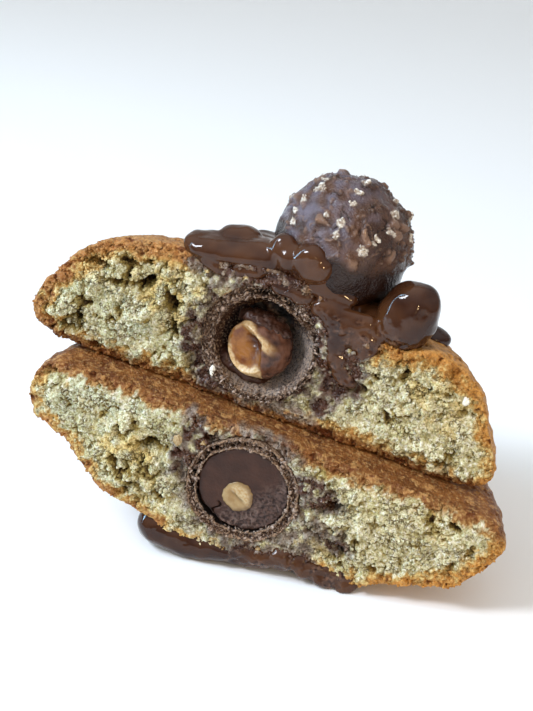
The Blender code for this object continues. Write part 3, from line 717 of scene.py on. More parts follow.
def split_cut_face(mesh, half):
    """Halves the size of the faces on the cut face."""
    share, _ = cut_face_share(half, *read_mesh(mesh))
    net = bmesh.new()
    net.from_mesh(mesh)
    net.verts.ensure_lookup_table()
    edges = [e for e in net.edges if all(share[v.index] > 0.02 for v in e.verts)]
    bmesh.ops.subdivide_edges(net, edges=edges, cuts=1, use_grid_fill=True)
    net.to_mesh(mesh)
    net.free()
    mesh.update()


def torn_relief(half, sample, torn):
    """(depth behind the plain face in mm, painted shade for its hollows, painted highlight where it
    stands out) of torn, grainy crumb."""
    seed = half["seed"]
    layers = ((0.26, 2.2), (0.16, 1.3), (0.22, 0.75), (0.22, 0.42))
    bumps = sum(height * waves(sample, size, seed + size) for height, size in layers)
    grain_at, _, grain_kind = cells(sample, 0.9, seed)
    grains = 0.2 * grain_at**2 + 0.34 * (grain_kind - 0.5) * ease(0.75, 0.4, grain_at)
    _, gap_edge, gap_kind = cells(sample, 1.5, seed + 13)
    gap = ease(0.16, 0.03, gap_edge) * (gap_kind > 0.3)
    gap = gap * ease(-0.1, 0.2, waves(sample, 1.2, seed + 15))
    _, clump_edge, clump_kind = cells(sample, 3.8, seed + 9)
    open_here = ease(-0.25, 0.2, waves(sample, 4.5, seed + 3))
    crevice = ease(0.30, 0.04, clump_edge + 0.16 * waves(sample, 0.9, seed + 7)) * open_here
    clumps = (clump_kind - 0.5) - 0.55 * ease(0.0, 0.5, clump_edge)
    _, crack_edge, crack_kind = cells(sample * (1.0, 1.0, 1.5), 2.6, seed + 19)
    crack = ease(0.13, 0.02, crack_edge) * (crack_kind > 0.35)
    crack = crack * ease(-0.15, 0.15, waves(sample, 2.0, seed + 29))
    caves = waves(sample, 3.0, seed + 25) + 0.35 * waves(sample, 0.9, seed)
    caves = np.clip((caves - 0.38) / 0.35, 0, 1)
    swells = waves(sample, 3.4, seed + 17)
    depth = (0.85 + 0.4 * torn) * (bumps + grains) + torn * (1.4 * crevice + clumps)
    depth = depth + (0.4 + 0.3 * torn) * swells
    depth = depth + 0.45 * gap + 0.85 * crack + (0.9 + 0.8 * torn) * caves
    # painted shade in the crevices, cracks, gaps, caves and deeper bumps
    shut = 0.9 * torn * crevice + 0.8 * crack + 0.5 * gap + 0.9 * caves
    shut = shut + 0.3 * ease(0.1, 0.5, bumps)
    # painted highlight where the clumps and swells stand out
    raised = ease(0.3, -0.5, torn * clumps + 0.4 * swells)
    uneven = 0.5 * waves(sample, 1.6, seed + 21) + 0.3 * waves(sample, 0.7, seed + 22)
    for middle, sizes, turn, deep in half["holes"]:
        near = patch(sample[:, 0], sample[:, 2], middle, sizes, turn)
        hole = ease(1.5, 0.5, near + uneven)
        depth += deep * hole
        # painted shade in the holes
        shut += 0.95 * hole
    return depth, shut, raised


def crust_relief(half, points):
    """(height of the crust in mm: low crags, fine cracks and pinholes, on a plain base; where
    its pinholes get painted shade)"""
    seed = half["seed"]
    flat = ease(2.4, 0.9, np.abs(points[:, 2]))
    crag = 0.45 * waves(points, 5.0, seed) + 0.3 * waves(points, 2.2, seed)
    crag += 0.16 * waves(points, 0.9, seed + 1)
    split = ease(0.07, 0.0, np.abs(waves(points, 11.0, seed + 4)))
    crag -= 0.7 * split * ease(0.0, 0.3, waves(points, 14.0, seed + 5))
    pin_at, _, pin_kind = cells(points, 1.9, seed + 2)
    pins = (pin_kind < 0.05) * ease(0.4, 0.1, pin_at)
    grit = 0.2 * waves(points, 1.8, seed) + 0.16 * waves(points, 0.9, seed + 3)
    height = (1 - flat) * (crag - 0.4 * pins) + flat * (grit - 0.3 * pins)
    return height, 0.9 * pins * (1 - flat)


def from_outside(half, points, face):
    """How far each point of the cut face is from the outside, in mm. One point in five of the
    outside is near enough for that."""
    past_pocket = off_praline(half, points) > half["pocket"] + 2
    outside = np.flatnonzero((face < 0.3) & past_pocket)[::5]
    tree = kdtree.KDTree(len(outside))
    for i in outside:
        tree.insert(Vector(points[i]), int(i))
    tree.balance()
    return np.array([tree.find(Vector(p))[2] if f > 0 else 0.0 for p, f in zip(points, face)])


def rim_thickness(half, x, near_base):
    """How thick the browned rim of the cut face looks, in mm."""
    left, right, below = half["crust"]
    thick = left + (right - left) * ease(30.0, 48.0, x)
    thick = thick + (below - thick) * near_base * ease(-40.0, -28.0, x)
    return thick + 1.2 * near_base * np.exp(-(((x - 10.0) / 16.0) ** 2))


def build_crumb(name, material):
    """One half: a crust with crags and cracks, and a torn, grainy cut face."""
    half = HALVES[name]
    seed = half["seed"]
    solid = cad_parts[name + "_half"].data.copy()
    solid = modified(name + "_copy", solid, WELD={"merge_threshold": 1e-6})
    mesh = even_net(solid, CRUST_NET, 3, name + "_crumb")
    split_cut_face(mesh, half)
    points, normals = read_mesh(mesh)
    x, y, z = points.T
    face, in_pocket = cut_face_share(half, points, normals)

    # places on the cut face, a little warped so that no grain is round
    sample = np.stack([x, np.full_like(x, seed), z], axis=1)
    warp = np.stack([waves(sample, 1.0, s) for s in (3.1, 0.0, 7.7)], axis=1)
    bent = 0.9 * np.roll(warp, 1, axis=1) * waves(sample, 5.0, 1.0)[:, None]
    sample = sample + 0.45 * warp + bent
    torn = np.clip(pull(half["torn"], sample, seed, 0.35, 5.0, 0.6) + 0.12, 0, 1)
    depth, shut, raised = torn_relief(half, sample, torn)
    crust, pinholes = crust_relief(half, points)

    # browned on the outside and a little way in, along a ragged line
    inward, near_base = from_outside(half, points, face), ease(5.0, 1.4, np.abs(z))
    thick = rim_thickness(half, x, near_base)
    ragged = 2.2 * waves(sample, 2.8, seed + 8) + 1.5 * waves(sample, 1.1, seed + 6)
    browned = 1 - face * ease(thick - 1.8, thick + 2.2, inward + ragged)
    edge_pits = ease(0.3, 0.6, waves(sample, 1.5, seed + 41) + 0.2 * near_base)
    depth = depth + 0.7 * browned * edge_pits
    # painted shade in the pits along the browned rim
    shut = shut * (1 - 0.6 * browned) + 0.9 * browned * edge_pits

    moved = points + normals * (crust * (1 - face) * ~in_pocket)[:, None]
    moved[:, 1] += face * (depth * (0.4 + 0.6 * ease(0.3, 1.6, inward)) - 0.3)
    write_points(mesh, moved)

    # yellower where it is buttery, and dark where cream or chocolate has soaked in
    buttery = pull(half["buttery"], sample, seed + 35, 0.4, 2.4, 0.8)
    patchy = ease(-0.3, 0.3, waves(sample, 2.4, seed))
    soaked = pull(half["stains"], sample, seed + 30, fade=0.7)
    soaked = soaked * ease(6.0, 3.0, y - half["face_y"])
    soaked = soaked * (1.1 + 0.9 * waves(sample, 2.6, seed + 31))
    soaked = soaked * ease(-0.9, 0.1, waves(sample, 1.3, seed + 33))
    write_marks(
        mesh,
        browned=np.where(in_pocket, 0.0, browned),
        base=near_base,
        warm=ease(-46.0, 46.0, x),
        # painted highlight where the crumb stands out
        raised=face * raised,
        buttery=0.85 * face * buttery * patchy,
        # painted shade in the crumb's hollows and in the crust's pinholes
        shut=np.where(face > 0.3, shut, pinholes),
        torn=face * (0.35 + 0.65 * torn) * ~in_pocket,
        soaked=np.where(in_pocket, 1.0, soaked),
        wet=face * ease(0.7, 0.95, soaked) * ~in_pocket,
    )
    triangles = sum(len(p.vertices) - 2 for p in mesh.polygons)
    mesh = modified(name + "_crumb", mesh, DECIMATE={"ratio": CRUMB_TRIANGLES / triangles})
    return add_piece(name + "_crumb", mesh, material, [name + "_half"])


def grain_tree(name, where, material):
    """Scatters loose grains over a surface, as thickly as this mark says."""
    tree = bpy.data.node_groups.new(name, "GeometryNodeTree")
    numbers = dict.fromkeys(("Gap", "Density", "Smallest", "Largest", "Thickness"), "Float")
    for label, kind in {"Geometry": "Geometry", **numbers, "Seed": "Int"}.items():
        tree.interface.new_socket(label, in_out="INPUT", socket_type="NodeSocket" + kind)
    tree.interface.new_socket("Geometry", in_out="OUTPUT", socket_type="NodeSocketGeometry")
    given = tree.nodes.new("NodeGroupInput").outputs

    share = add(tree, "GeometryNodeInputNamedAttribute", {"Name": where}, data_type="FLOAT")
    inputs = {
        "Mesh": given["Geometry"], "Distance Min": given["Gap"], "Density Max": given["Density"],
        "Density Factor": share, "Seed": given["Seed"],
    }
    kind = "GeometryNodeDistributePointsOnFaces"
    places = add(tree, kind, inputs, distribute_method="POISSON")

    # one craggy lump, 1 mm in radius
    ball = add(tree, "GeometryNodeMeshIcoSphere", {"Radius": MM, "Subdivisions": 1})
    crags = add(tree, "ShaderNodeTexNoise", {"Scale": 1.1 / MM, "Detail": 1.0}, "Color")
    inputs = (crags, (0.5, 0.5, 0.5))
    centred = add(tree, "ShaderNodeVectorMath", inputs, operation="SUBTRACT")
    inputs = {0: centred, "Scale": 1.6 * MM}
    scaled = add(tree, "ShaderNodeVectorMath", inputs, operation="SCALE")
    lump = add(tree, "GeometryNodeSetPosition", {"Geometry": ball, "Offset": scaled})

    # turned any way, and of any size between the two
    inputs = {0: (0, 0, 0), 1: (6.28, 6.28, 6.28), "Seed": given["Seed"]}
    turn = add(tree, "FunctionNodeRandomValue", inputs, data_type="FLOAT_VECTOR")
    inputs = {2: given["Smallest"], 3: given["Largest"], "Seed": given["Seed"]}
    size = add(tree, "FunctionNodeRandomValue", inputs, 1, data_type="FLOAT")
    flat = add(tree, "ShaderNodeMath", (size, given["Thickness"]), operation="MULTIPLY")
    scale = add(tree, "ShaderNodeCombineXYZ", (size, size, flat))
    inputs = {"Points": places, "Instance": lump, "Rotation": turn, "Scale": scale}
    loose = add(tree, "GeometryNodeInstanceOnPoints", inputs)
    real = add(tree, "GeometryNodeRealizeInstances", (loose,))
    dressed = add(tree, "GeometryNodeSetMaterial", {"Geometry": real, "Material": material})
    tree.links.new(dressed, tree.nodes.new("NodeGroupOutput").inputs[0])
    return tree


def scatter(name, ground, tree, material, seed, gap, density, sizes, thickness=1.0):
    """A piece of loose grains on another piece: at least this gap apart in mm, at most so many
    to the square mm, between these sizes in mm, and as thick as this share of their width."""
    obj = new_object(name, ground.data.copy())
    modifier = obj.modifiers.new("scatter", "NODES")
    modifier.node_group = tree
    values = {
        "Gap": gap * MM, "Density": density / MM**2, "Smallest": sizes[0], "Largest": sizes[1],
        "Thickness": thickness, "Seed": seed,
    }
    for item in tree.interface.items_tree:
        if item.in_out == "INPUT" and item.name in values:
            modifier[item.identifier] = values[item.name]
    add_piece(name, finished_mesh(obj, name), material)


# ---------------------------------------------------------------- the pralines


WAFER_SIDES, CREAM_SIDES, NUT_SIDES = 400, 300, 120  # points round each of them


def arc(radius, start, end, steps):
    """Profile points on a circle about the origin, from one angle to another in degrees."""
    angles = np.radians(np.linspace(start, end, steps))
    return [(radius * math.sin(a), radius * math.cos(a)) for a in angles]


def ring_waves(angle, r, size, seed):
    points = np.stack([r * np.cos(angle), np.full_like(angle, seed), r * np.sin(angle)], axis=1)
    return waves(points, size, seed)


def turned_from(angle, degrees):
    """How far each angle is turned from this one, from -180 to 180 degrees."""
    return (np.degrees(angle) - degrees + 180) % 360 - 180


# A wafer's cut edge runs from share 0 to share 1, and these stand for its other two sides.
OUTSIDE, INSIDE = -1.0, 2.0


def build_wafer(name, middle, outer, inner, face, lining, dark_inside, material):
    """A cut wafer shell. inner(angle) is the inside radius at the cut edge. face(r, angle, share)
    gives (how far the cut edge lies behind the middle, how much painted shade its gaps get, how
    pale), where share runs from 0 at its outside to 1 at its inside. lining(angle) is the tone of
    its inside, and dark_inside says whether its inside is painted black, as shade where no light
    gets in."""
    profile = [((r, OUTSIDE), y) for r, y in arc(outer, 0, 87, 30)]
    profile += [((outer, share), 0.0) for share in np.linspace(0.0, 1.0, 33)]
    profile += [((r, INSIDE), y) for r, y in arc(outer, 87, 0, 60)]

    def move(step, y, angle):
        r, share = step
        tone = np.zeros_like(angle)
        rough = 0.14 * ring_waves(angle, r, 1.3, 2.0 + y) + 0.07 * ring_waves(angle, r, 0.5, 6.0)
        rough = rough + 0.35 * ring_waves(angle, outer, 4.0, 12.0)
        down = min(1.0, y / ((0.2 if share == OUTSIDE else 0.3) * outer))
        depth, shut, pale = face(r, angle, min(1.0, max(0.0, share)))
        # painted shade: the inside painted black where no light gets in
        hidden = dark_inside * (share == INSIDE) * min(1.0, y / 0.6)
        if share == OUTSIDE:
            radius = r + rough
        elif share == INSIDE:
            rim_inner, deep = inner(angle), (outer - 2.0) / outer
            radius = r / outer * (rim_inner * (1 - down) + outer * deep * down)
            wrinkles = ring_waves(angle, 9.0, 0.9, 50.0 + 0.12 * y)
            wrinkles = wrinkles + ring_waves(angle, 9.0, 0.45, 60.0)
            streaks = ring_waves(angle, 2.5, 1.0, 70.0 + 1.6 * y)
            radius = radius + (0.22 * wrinkles + 0.12 * streaks) * min(1.0, y) + 0.5 * rough
            tone = lining(angle) + 0.1 * wrinkles + 0.35 * streaks
            y = y * deep
        else:
            radius = outer + (inner(angle) - outer) * share + rough
        level, inwards = 1 - down, share != OUTSIDE
        marks = {
            # painted shade in the gaps and the hollow inside
            "shut": np.maximum(shut * inwards * (1 - min(1.0, 2 * down)), hidden),
            "pale_edge": pale * level,
            "lining": tone,
            "flaky": np.full_like(angle, inwards * (1 - min(1.0, 2.5 * down))),
        }
        x, z = middle[0] + radius * np.cos(angle), middle[2] + radius * np.sin(angle)
        return (x, middle[1] + y + level * depth, z), marks

    mesh = lathe(name, profile, WAFER_SIDES, move)
    return add_piece(name + "_shell", mesh, material, [name])


def lower_wafer_face(r, angle, share):
    """Two thin crisp skins with a porous gap between them, closed at the bottom."""
    edge = share + 0.14 * ring_waves(angle, 12.0, 2.2, 5.0)
    edge = edge + 0.09 * ring_waves(angle, 12.0, 0.8, 8.0)
    web = ring_waves(angle, 12.0, 1.3, 3.0 + 2 * share)
    web = web + 0.7 * ring_waves(angle, 12.0, 0.6, 9.0 + 6 * share)
    gap = ease(0.18, 0.32, edge) * ease(0.88, 0.76, edge)
    closed = ease(-0.35, -0.75, np.sin(angle))
    # painted shade in the porous gap, nearly black
    shut = gap * ease(0.0, 0.4, web - 0.5 * closed + 0.25 * np.cos(angle - 2.6))
    chips = 0.4 * ring_waves(angle, r, 2.2, 9.0) + 0.35 * ring_waves(angle, r, 0.8, 19.0 + share)
    pale = ease(0.3, 0.05, edge) + ease(0.74, 0.92, edge)
    worn = ease(-0.4, 0.3, ring_waves(angle, 12.0, 1.5, 25.0 + share) + 0.3)
    return -0.3 + chips + 0.5 * gap + 1.6 * shut, shut, 0.9 * pale * worn


def lower_wafer_inner(angle):
    return np.full_like(angle, 9.9)


def lower_wafer_lining(angle):
    """Brown cream all round."""
    return np.full_like(angle, 0.3)


def upper_wafer_face(r, angle, share):
    """A broken edge, thick and crumbly; the shell stands furthest out at the lower right, and is
    broken away at the right."""
    x, z = r * np.cos(angle), r * np.sin(angle)
    lean = -0.4 - 1.3 * (0.65 * x - 0.75 * z) / 12.2
    from_break = np.abs(turned_from(angle, 22))
    broken = ease(26, 12, from_break + 8 * ring_waves(angle, 12.0, 1.6, 3.0))
    flakes = 0.5 * ring_waves(angle, 12.0, 1.4, 9.0 + 3 * share)
    flakes = flakes + 0.45 * ring_waves(angle, 12.0, 0.6, 19.0 + 6 * share)
    # painted shade in the gaps between flakes and in the groove
    shut = ease(0.22, 0.5, ring_waves(angle, 12.0, 0.9, 31.0 + 4 * share))
    thin = ease(50, 80, np.degrees(angle)) * ease(130, 105, np.degrees(angle))
    groove = thin * ease(0.2, 0.35, share) * ease(0.8, 0.6, share)
    layers = ease(0.1, 0.7, np.cos(angle - math.radians(-50)))
    middle = share + 0.12 * ring_waves(angle, 12.0, 2.5, 45.0)
    groove = groove + layers * ease(0.3, 0.42, middle) * ease(0.62, 0.5, middle)
    depth = lean + flakes + 0.8 * shut + 2.6 * broken * (0.6 + 0.4 * shut) + 1.2 * groove
    edge = ease(0.14, 0.0, share) + 0.6 * ease(0.86, 1.0, share) + 0.2
    return depth, np.clip(0.7 * shut + groove, 0, 1), edge * ease(-0.5, 0.3, flakes)


def upper_wafer_inner(angle):
    """Thick at the left and on top, thin at the lower right."""
    right = ease(-0.3, 0.8, np.cos(angle - math.radians(-38)))
    return 9.5 + 1.9 * right + 0.2 * ring_waves(angle, 10.0, 1.5, 13.0)


def upper_wafer_lining(angle):
    """Red-brown cream on the left and top, grey and papery at the lower right."""
    return 0.4 + 0.6 * ease(-0.1, 0.6, np.cos(angle - math.radians(-48)))


# The wafers: middle, outer radius, inner, face, lining and dark_inside, as build_wafer says
WAFERS = {
    "lower_wafer": (
        LOWER_MIDDLE, 12.0, lower_wafer_inner, lower_wafer_face, lower_wafer_lining, True
    ),
    "upper_wafer": (
        UPPER_MIDDLE, 12.25, upper_wafer_inner, upper_wafer_face, upper_wafer_lining, False
    ),
}


def build_lower_filling(material):
    """The cream disc: smooth where the knife drew it, smeared at the lower right, and broken
    away from the wafer at the lower left."""
    radius = 10.1
    disc = [(radius * t, 0.0) for t in np.linspace(1.0, 0.0, 60)]

    def move(r, y, angle):
        x, z = r * np.cos(angle), r * np.sin(angle)
        turned = turned_from(angle, 238)
        torn = np.exp(-((turned / 44) ** 2)) * (0.6 + 0.6 * ring_waves(angle, 9.0, 1.6, 5.0))
        torn = torn + 0.16 * ease(-0.1, 0.3, ring_waves(angle, 9.0, 1.2, 15.0))
        share = r / radius
        smear = ease(-0.5, 4.5, 0.75 * x - 0.66 * z + 1.6 * ring_waves(angle, r, 3.0, 8.0))
        smear = smear * ease(2.6, 4.2, np.hypot(x + 0.5, z + 1.9))
        bent = 0.25 * (z + 6) + 0.5 * np.sin(2.2 * (z + 6.4))
        hook = np.exp(-(((x + 4.0 - bent) / 0.22) ** 2)) * ease(2.2, 1.6, np.abs(z + 6.6))
        depth = np.full_like(angle, y)
        if y < 0.15 * radius:
            level = ease(0.15 * radius, 0, y)
            ridges = 0.3 * smear * ring_waves(angle, r, 0.9, 3.0)
            ridges = ridges + 0.1 * ring_waves(angle, r, 3.0, 4.0)
            fallen = 0.5 * ease(0.93, 1.0, share) + 0.9 * hook
            depth = depth + level * (0.35 + ridges + fallen)
        r = r - torn * ease(0.82, 1.0, share)
        shade = np.maximum(hook, torn * ease(0.80, 0.93, share))
        x, z = LOWER_MIDDLE[0] + r * np.cos(angle), LOWER_MIDDLE[2] + r * np.sin(angle)
        return (x, depth, z), {"smeared": smear, "shade": shade}

    mesh = lathe("lower_cream", [*arc(radius, 0, 84, 24), *disc], CREAM_SIDES, move)
    return add_piece("lower_cream", mesh, material, ["lower_filling"])


def build_lower_nut(material):
    """The nut cut across: an uneven round face with the crease between its halves."""
    middle, radii = (1.9, -0.1, -15.2), (3.3, 3.45)
    back = [(r, 4.2 * y) for r, y in arc(1.0, 0, 80, 14)]
    face = [(t, 0.0) for t in np.linspace(1.0, 0.0, 26)]

    def move(r, y, angle):
        uneven = 1 + 0.13 * ring_waves(angle, 3.0, 1.8, 3.0)
        uneven = uneven + 0.07 * ring_waves(angle, 3.0, 0.7, 9.0)
        x, z = r * radii[0] * np.cos(angle) * uneven, r * radii[1] * np.sin(angle) * uneven
        depth = np.full_like(angle, y)
        across, along = 0.55 * x + 0.83 * z, 0.83 * x - 0.55 * z
        across = across + 0.25 * ring_waves(angle, 3 * r, 1.5, 5.0)
        crease = np.exp(-((across / 0.4) ** 2)) * ease(2.6, 0.8, np.abs(along))
        if y < 0.9:
            level = ease(0.9, 0.0, y)
            grain_height = 0.08 * ring_waves(angle, 3 * r, 0.8, 2.0)
            depth = depth + level * (0.35 * r**6 + 0.3 * crease + grain_height)
        marks = {
            "pale_edge": 0.55 * ease(-0.2, 0.8, across) * ease(1.0, 0.6, r),
            "shade": np.maximum(0.5 * crease, 0.45 * ease(0.7, 1.0, r + 0.05 * x)),
            "skin": np.zeros_like(angle),
        }
        return (middle[0] + x, middle[1] + depth, middle[2] + z), marks

    mesh = lathe("cut_nut", [*back, *face], NUT_SIDES, move)
    return add_piece("cut_nut", mesh, material, ["lower_nut"])


UPPER_CREAM = [
    [((-4.4, 20.6, 15.6), (9.2, 4.2, 9.2))],  # the layer at the back of the shell
    [  # the cap on the nut
        ((-8.8, 13.6, 18.6), (1.6, 2.2, 1.5)), ((-7.0, 12.8, 19.4), (2.2, 2.8, 1.5)),
        ((-4.0, 12.2, 19.4), (2.6, 3.0, 1.3)), ((-0.6, 12.4, 18.2), (1.8, 2.6, 1.1)),
    ],
    [((-10.6, 14.6, 8.4), (2.2, 4.2, 2.0)), ((-4.4, 14.6, 6.4), (5.2, 4.6, 1.6))],  # below it
]


def build_upper_filling(material):
    """What is left of the cream: a layer at the back of the shell and a cap on the nut."""
    mesh = joined_lumps("upper_cream", UPPER_CREAM, size=0.25, smooth_steps=3)
    points, normals = read_mesh(mesh)
    rough = 0.5 * waves(points, 1.6, 2.0) + 0.3 * waves(points, 0.7, 4.0)
    write_points(mesh, points + normals * rough[:, None])
    smeared = 0.7 * ease(-0.2, 0.3, waves(points, 1.4, 5.0))
    write_marks(mesh, smeared=smeared, shade=ease(14.5, 17.0, points[:, 1]))
    return add_piece("upper_cream", mesh, material, ["upper_filling"])


def ball_points(steps):
    """Points and faces of an even ball of radius 1."""
    bm = bmesh.new()
    bmesh.ops.create_icosphere(bm, subdivisions=steps, radius=1)
    points = np.array([v.co for v in bm.verts])
    faces = [[v.index for v in f.verts] for f in bm.faces]
    bm.free()
    return points, faces


def build_upper_nut(material):
    """The broken nut: its left half is a hollow of bare flesh with a cream rim, and its right
    half still has its brown skin. A slight crest runs down from the top between them, with a
    painted highlight along it."""
    ball, faces = ball_points(6)
    middle, radii = np.array([-4.2, 12.2, 13.4]), np.array([6.9, 6.2, 6.5])
    points = ball * radii
    x, y, z = points.T
    lumpy = 0.3 * waves(points, 3.0, 4.0) + 0.08 * waves(points, 1.0, 7.0)
    points = points + ball * lumpy[:, None]
    ragged = 0.35 * waves(points, 1.8, 3.0)
    edge, top = 0.9 + 0.25 * (2.0 - z) + ragged, 4.6 - 0.41 * (x + 2.5) + ragged
    bare = ease(edge + 0.3, edge - 0.3, x) * ease(top + 0.3, top - 0.3, z)
    bare = bare * ease(-0.4, -1.4, y)
    scoop = patch(x, z, (-2.3, 0.0), (4.5, 4.9), 14)
    deep = np.exp(-(patch(x, z, (-0.9, 2.2), (1.8, 1.6), 0) ** 2))
    points[:, 1] += bare * (3.6 * np.clip(1 - scoop**2, 0, 1) ** 0.8 + 0.9 * deep)
    across = 0.38 * (x + 2.5) + 0.925 * (z - 4.6) + 0.7 * ragged
    along = 0.925 * (x + 2.5) - 0.38 * (z - 4.6)
    # painted highlight along a slight crest between the two halves
    streak = ease(1.4, 0.5, np.abs(across)) * ease(-4.5, -2.0, along)
    streak = streak * ease(8.0, 4.5, along) * (y < -0.5)
    points[:, 1] -= 0.25 * streak
    mesh = shell("broken_nut", points + middle, faces)
    near_rim = scoop + 0.15 * waves(points, 1.2, 9.0)
    rim = ease(0.72, 0.9, near_rim) * ease(-1.6, -2.8, z + 0.2 * x)
    rim = bare * np.maximum(rim, 0.35 * ease(0.85, 1.0, near_rim))
    write_marks(
        mesh,
        # pale cream rim, and the painted highlight along the crest
        pale_edge=np.maximum(rim, 0.85 * streak),
        shade=bare * (0.9 * deep + 0.5 * ease(-3.5, 2.5, x + 0.4 * z)),
        skin=(1 - bare) * (1 - streak),
    )
    return add_piece("broken_nut", mesh, material, ["upper_nut"])


# Bare bits of chopped nut on the whole praline: (angle about its axis from the front, height
# angle) in degrees, and length in mm
BARE_NUTS = [
    (2, 84, 2.0), (-57, 50, 2.5), (-75, 58, 1.4), (-57, 33, 1.9), (-57, 23, 2.0), (-50, 16, 1.5),
    (-23, 34, 1.2), (-7, 33, 1.9), (-6, 24, 1.5), (20, 18, 2.2), (59, 50, 2.5), (47, 36, 2.0),
    (-3, 53, 1.5), (-4, 66, 2.0), (31, 30, 1.4), (28, 24, 1.4), (-92, 23, 1.5), (76, 27, 2.2),
    (100, 40, 2.0), (130, 14, 1.8), (150, 45, 2.2), (180, 24, 1.9), (-150, 36, 2.1),
    (-120, 16, 1.7), (-110, 52, 1.9), (170, 2, 1.7), (-170, 62, 1.6), (88, 60, 1.5),
]


def build_top_praline(material):
    """The whole praline: chopped nuts under a thin coat, with a few bits left bare. Its lower
    part is smooth, where the melted chocolate took it in."""
    ways, faces = ball_points(7)
    skin = ways * TOP_RADIUS
    warped = skin + 0.9 * np.stack([waves(skin, 2.2, s) for s in (3.0, 9.0, 15.0)], axis=1)
    chip_at, chip_edge, chip_kind = cells(warped, 2.6, 4.0)
    bit_at, _, bit_kind = cells(warped * (1.0, 1.0, 1.5), 1.4, 14.0)
    chips = 0.75 * (chip_kind > 0.70) * ease(0.62, 0.30, chip_at)
    bits = 0.5 * (bit_kind > 0.76) * ease(0.62, 0.30, bit_at)
    creases = ease(0.12, 0.0, chip_edge) * ease(0.1, 0.4, waves(skin, 3.0, 31.0))
    ridges = ease(0.06, 0.0, np.abs(waves(warped, 2.6, 22.0)))
    ridges = ridges * ease(-0.1, 0.2, waves(skin, 3.0, 1.0))
    dipped = ease(2.0, -0.6, skin[:, 2] + 0.05 * skin[:, 0] + 1.8 * waves(skin, 4.0, 12.0))
    relief = (1 - dipped) * (chips + bits + 0.35 * ridges - 0.4 * creases)
    relief += 0.55 * waves(skin, 4.5, 2.0)
    relief += (1 - 0.7 * dipped) * 0.22 * waves(skin, 1.5, 6.0)
    bare = np.zeros(len(ways))
    for turn, rise, length in BARE_NUTS:
        a, b = math.radians(turn), math.radians(rise)
        way = np.array([math.sin(a) * math.cos(b), -math.cos(a) * math.cos(b), math.sin(b)])
        apart = np.linalg.norm(skin - way * TOP_RADIUS, axis=1) / (length / 2)
        near = apart < 2.4
        ragged = apart[near] + 0.7 * waves(skin[near], 1.1, 8.0) + 0.4 * waves(skin[near], 0.5, 2.0)
        bare[near] = np.maximum(bare[near], ease(0.95, 0.7, ragged))
        relief[near] += 0.3 * ease(1.3, 0.6, ragged)
    points = ways * (TOP_RADIUS + relief)[:, None] + TOP_MIDDLE
    mesh = shell("whole_praline", points, faces)
    # painted sheen: lighter towards the upper left, where the sky is reflected
    bloom = ease(-2, 13, -0.75 * skin[:, 0] - 0.3 * skin[:, 1] + 0.55 * skin[:, 2])
    write_marks(
        mesh,
        bare_nut=bare,
        # painted highlight on the chips, bits and ridges that stand out
        ridge=(1 - dipped) * np.maximum(0.6 * ridges, 0.9 * (chips + bits)),
        # painted sheen on the upper left side
        bloom=bloom * ease(-0.5, 0.5, waves(skin, 2.5, 3.0)),
        dipped=dipped,
        # painted shade in the creases
        shut=(1 - dipped) * creases * (1 - bare),
    )
    return add_piece("whole_praline", mesh, material, ["top_praline"])


# ---------------------------------------------------------------- the chocolate


def build_chocolate(name, strokes, face_y, crumbs_from, material):
    """Melted chocolate that has run together and set. Where it lies on the cut face it has taken
    up crumbs, from this x to the right."""
    mesh = joined_lumps(name + "_run", strokes, size=0.35, smooth_steps=20)
    points, normals = read_mesh(mesh)
    crumbed = ease(face_y + 1.4, face_y, points[:, 1]) * ease(29.5, 26.5, points[:, 2])
    crumbed = crumbed * ease(0, 5, points[:, 0] - crumbs_from)
    crumb_at, _, _ = cells(points, 1.9, 5.0)
    lumpy = 0.35 * (0.45 - crumb_at) + 0.4 * waves(points, 2.4, 5.0)
    lumpy = lumpy + 0.22 * waves(points, 0.9, 7.0)
    lift = 0.4 * waves(points, 3.4, 3.0) + 0.4 * waves(points, 7.0, 6.0)
    lift = lift + 0.12 * waves(points, 1.7, 8.0) + 0.2 + crumbed * lumpy
    write_points(mesh, points + normals * lift[:, None])
    write_marks(mesh, crumbed=crumbed * ease(-0.1, 0.5, waves(points, 1.6, 9.0)))
    return add_piece(name + "_run", mesh, material, [name])


# Loose bits in the torn faces: middle, and size in mm
LOOSE_BITS = {
    "nut_bits": [
        ((-13.5, -0.3, -7.0), (0.9, 0.8, 1.1)), ((-8.2, 0.3, -6.0), (0.6, 0.6, 0.5)),
        ((9.4, 0.4, -25.6), (0.6, 0.6, 0.4)),
    ],
    "sugar_bits": [
        ((38.6, 8.6, 19.3), (0.6, 0.4, 0.9)), ((-11.8, 8.3, 6.4), (0.6, 0.35, 1.15)),
        ((29.3, 0.6, -26.0), (0.9, 0.7, 0.9)),
    ],
}


def build_loose_bits(name, paleness, material):
    """Nut or sugar bits that stuck to the cut faces."""
    points, faces = [], []
    ball, ball_faces = ball_points(4)
    for middle, radii in LOOSE_BITS[name]:
        first = len(points) * len(ball)
        spread = 1 + 0.45 * waves(ball, 0.8, middle[0]) + 0.2 * waves(ball, 0.4, middle[0])
        points.append(ball * spread[:, None] * radii + middle)
        faces += [[first + i for i in face] for face in ball_faces]
    mesh = shell(name, np.concatenate(points), faces)
    write_marks(mesh, shade=0.0, skin=0.0, pale_edge=paleness)
    return add_piece(name, mesh, material)


# ---------------------------------------------------------------- light, floor, camera


def area_light(name, at, looks_at, size, watts, colour):
    light = bpy.data.lights.new(name, "AREA")
    light.shape = "RECTANGLE"
    light.size, light.size_y = size
    light.energy = watts
    light.color = linear(colour)[:3]
    obj = new_object(name, light)
    obj.location = at
    obj.rotation_euler = (Vector(looks_at) - Vector(at)).to_track_quat("-Z", "Y").to_euler()


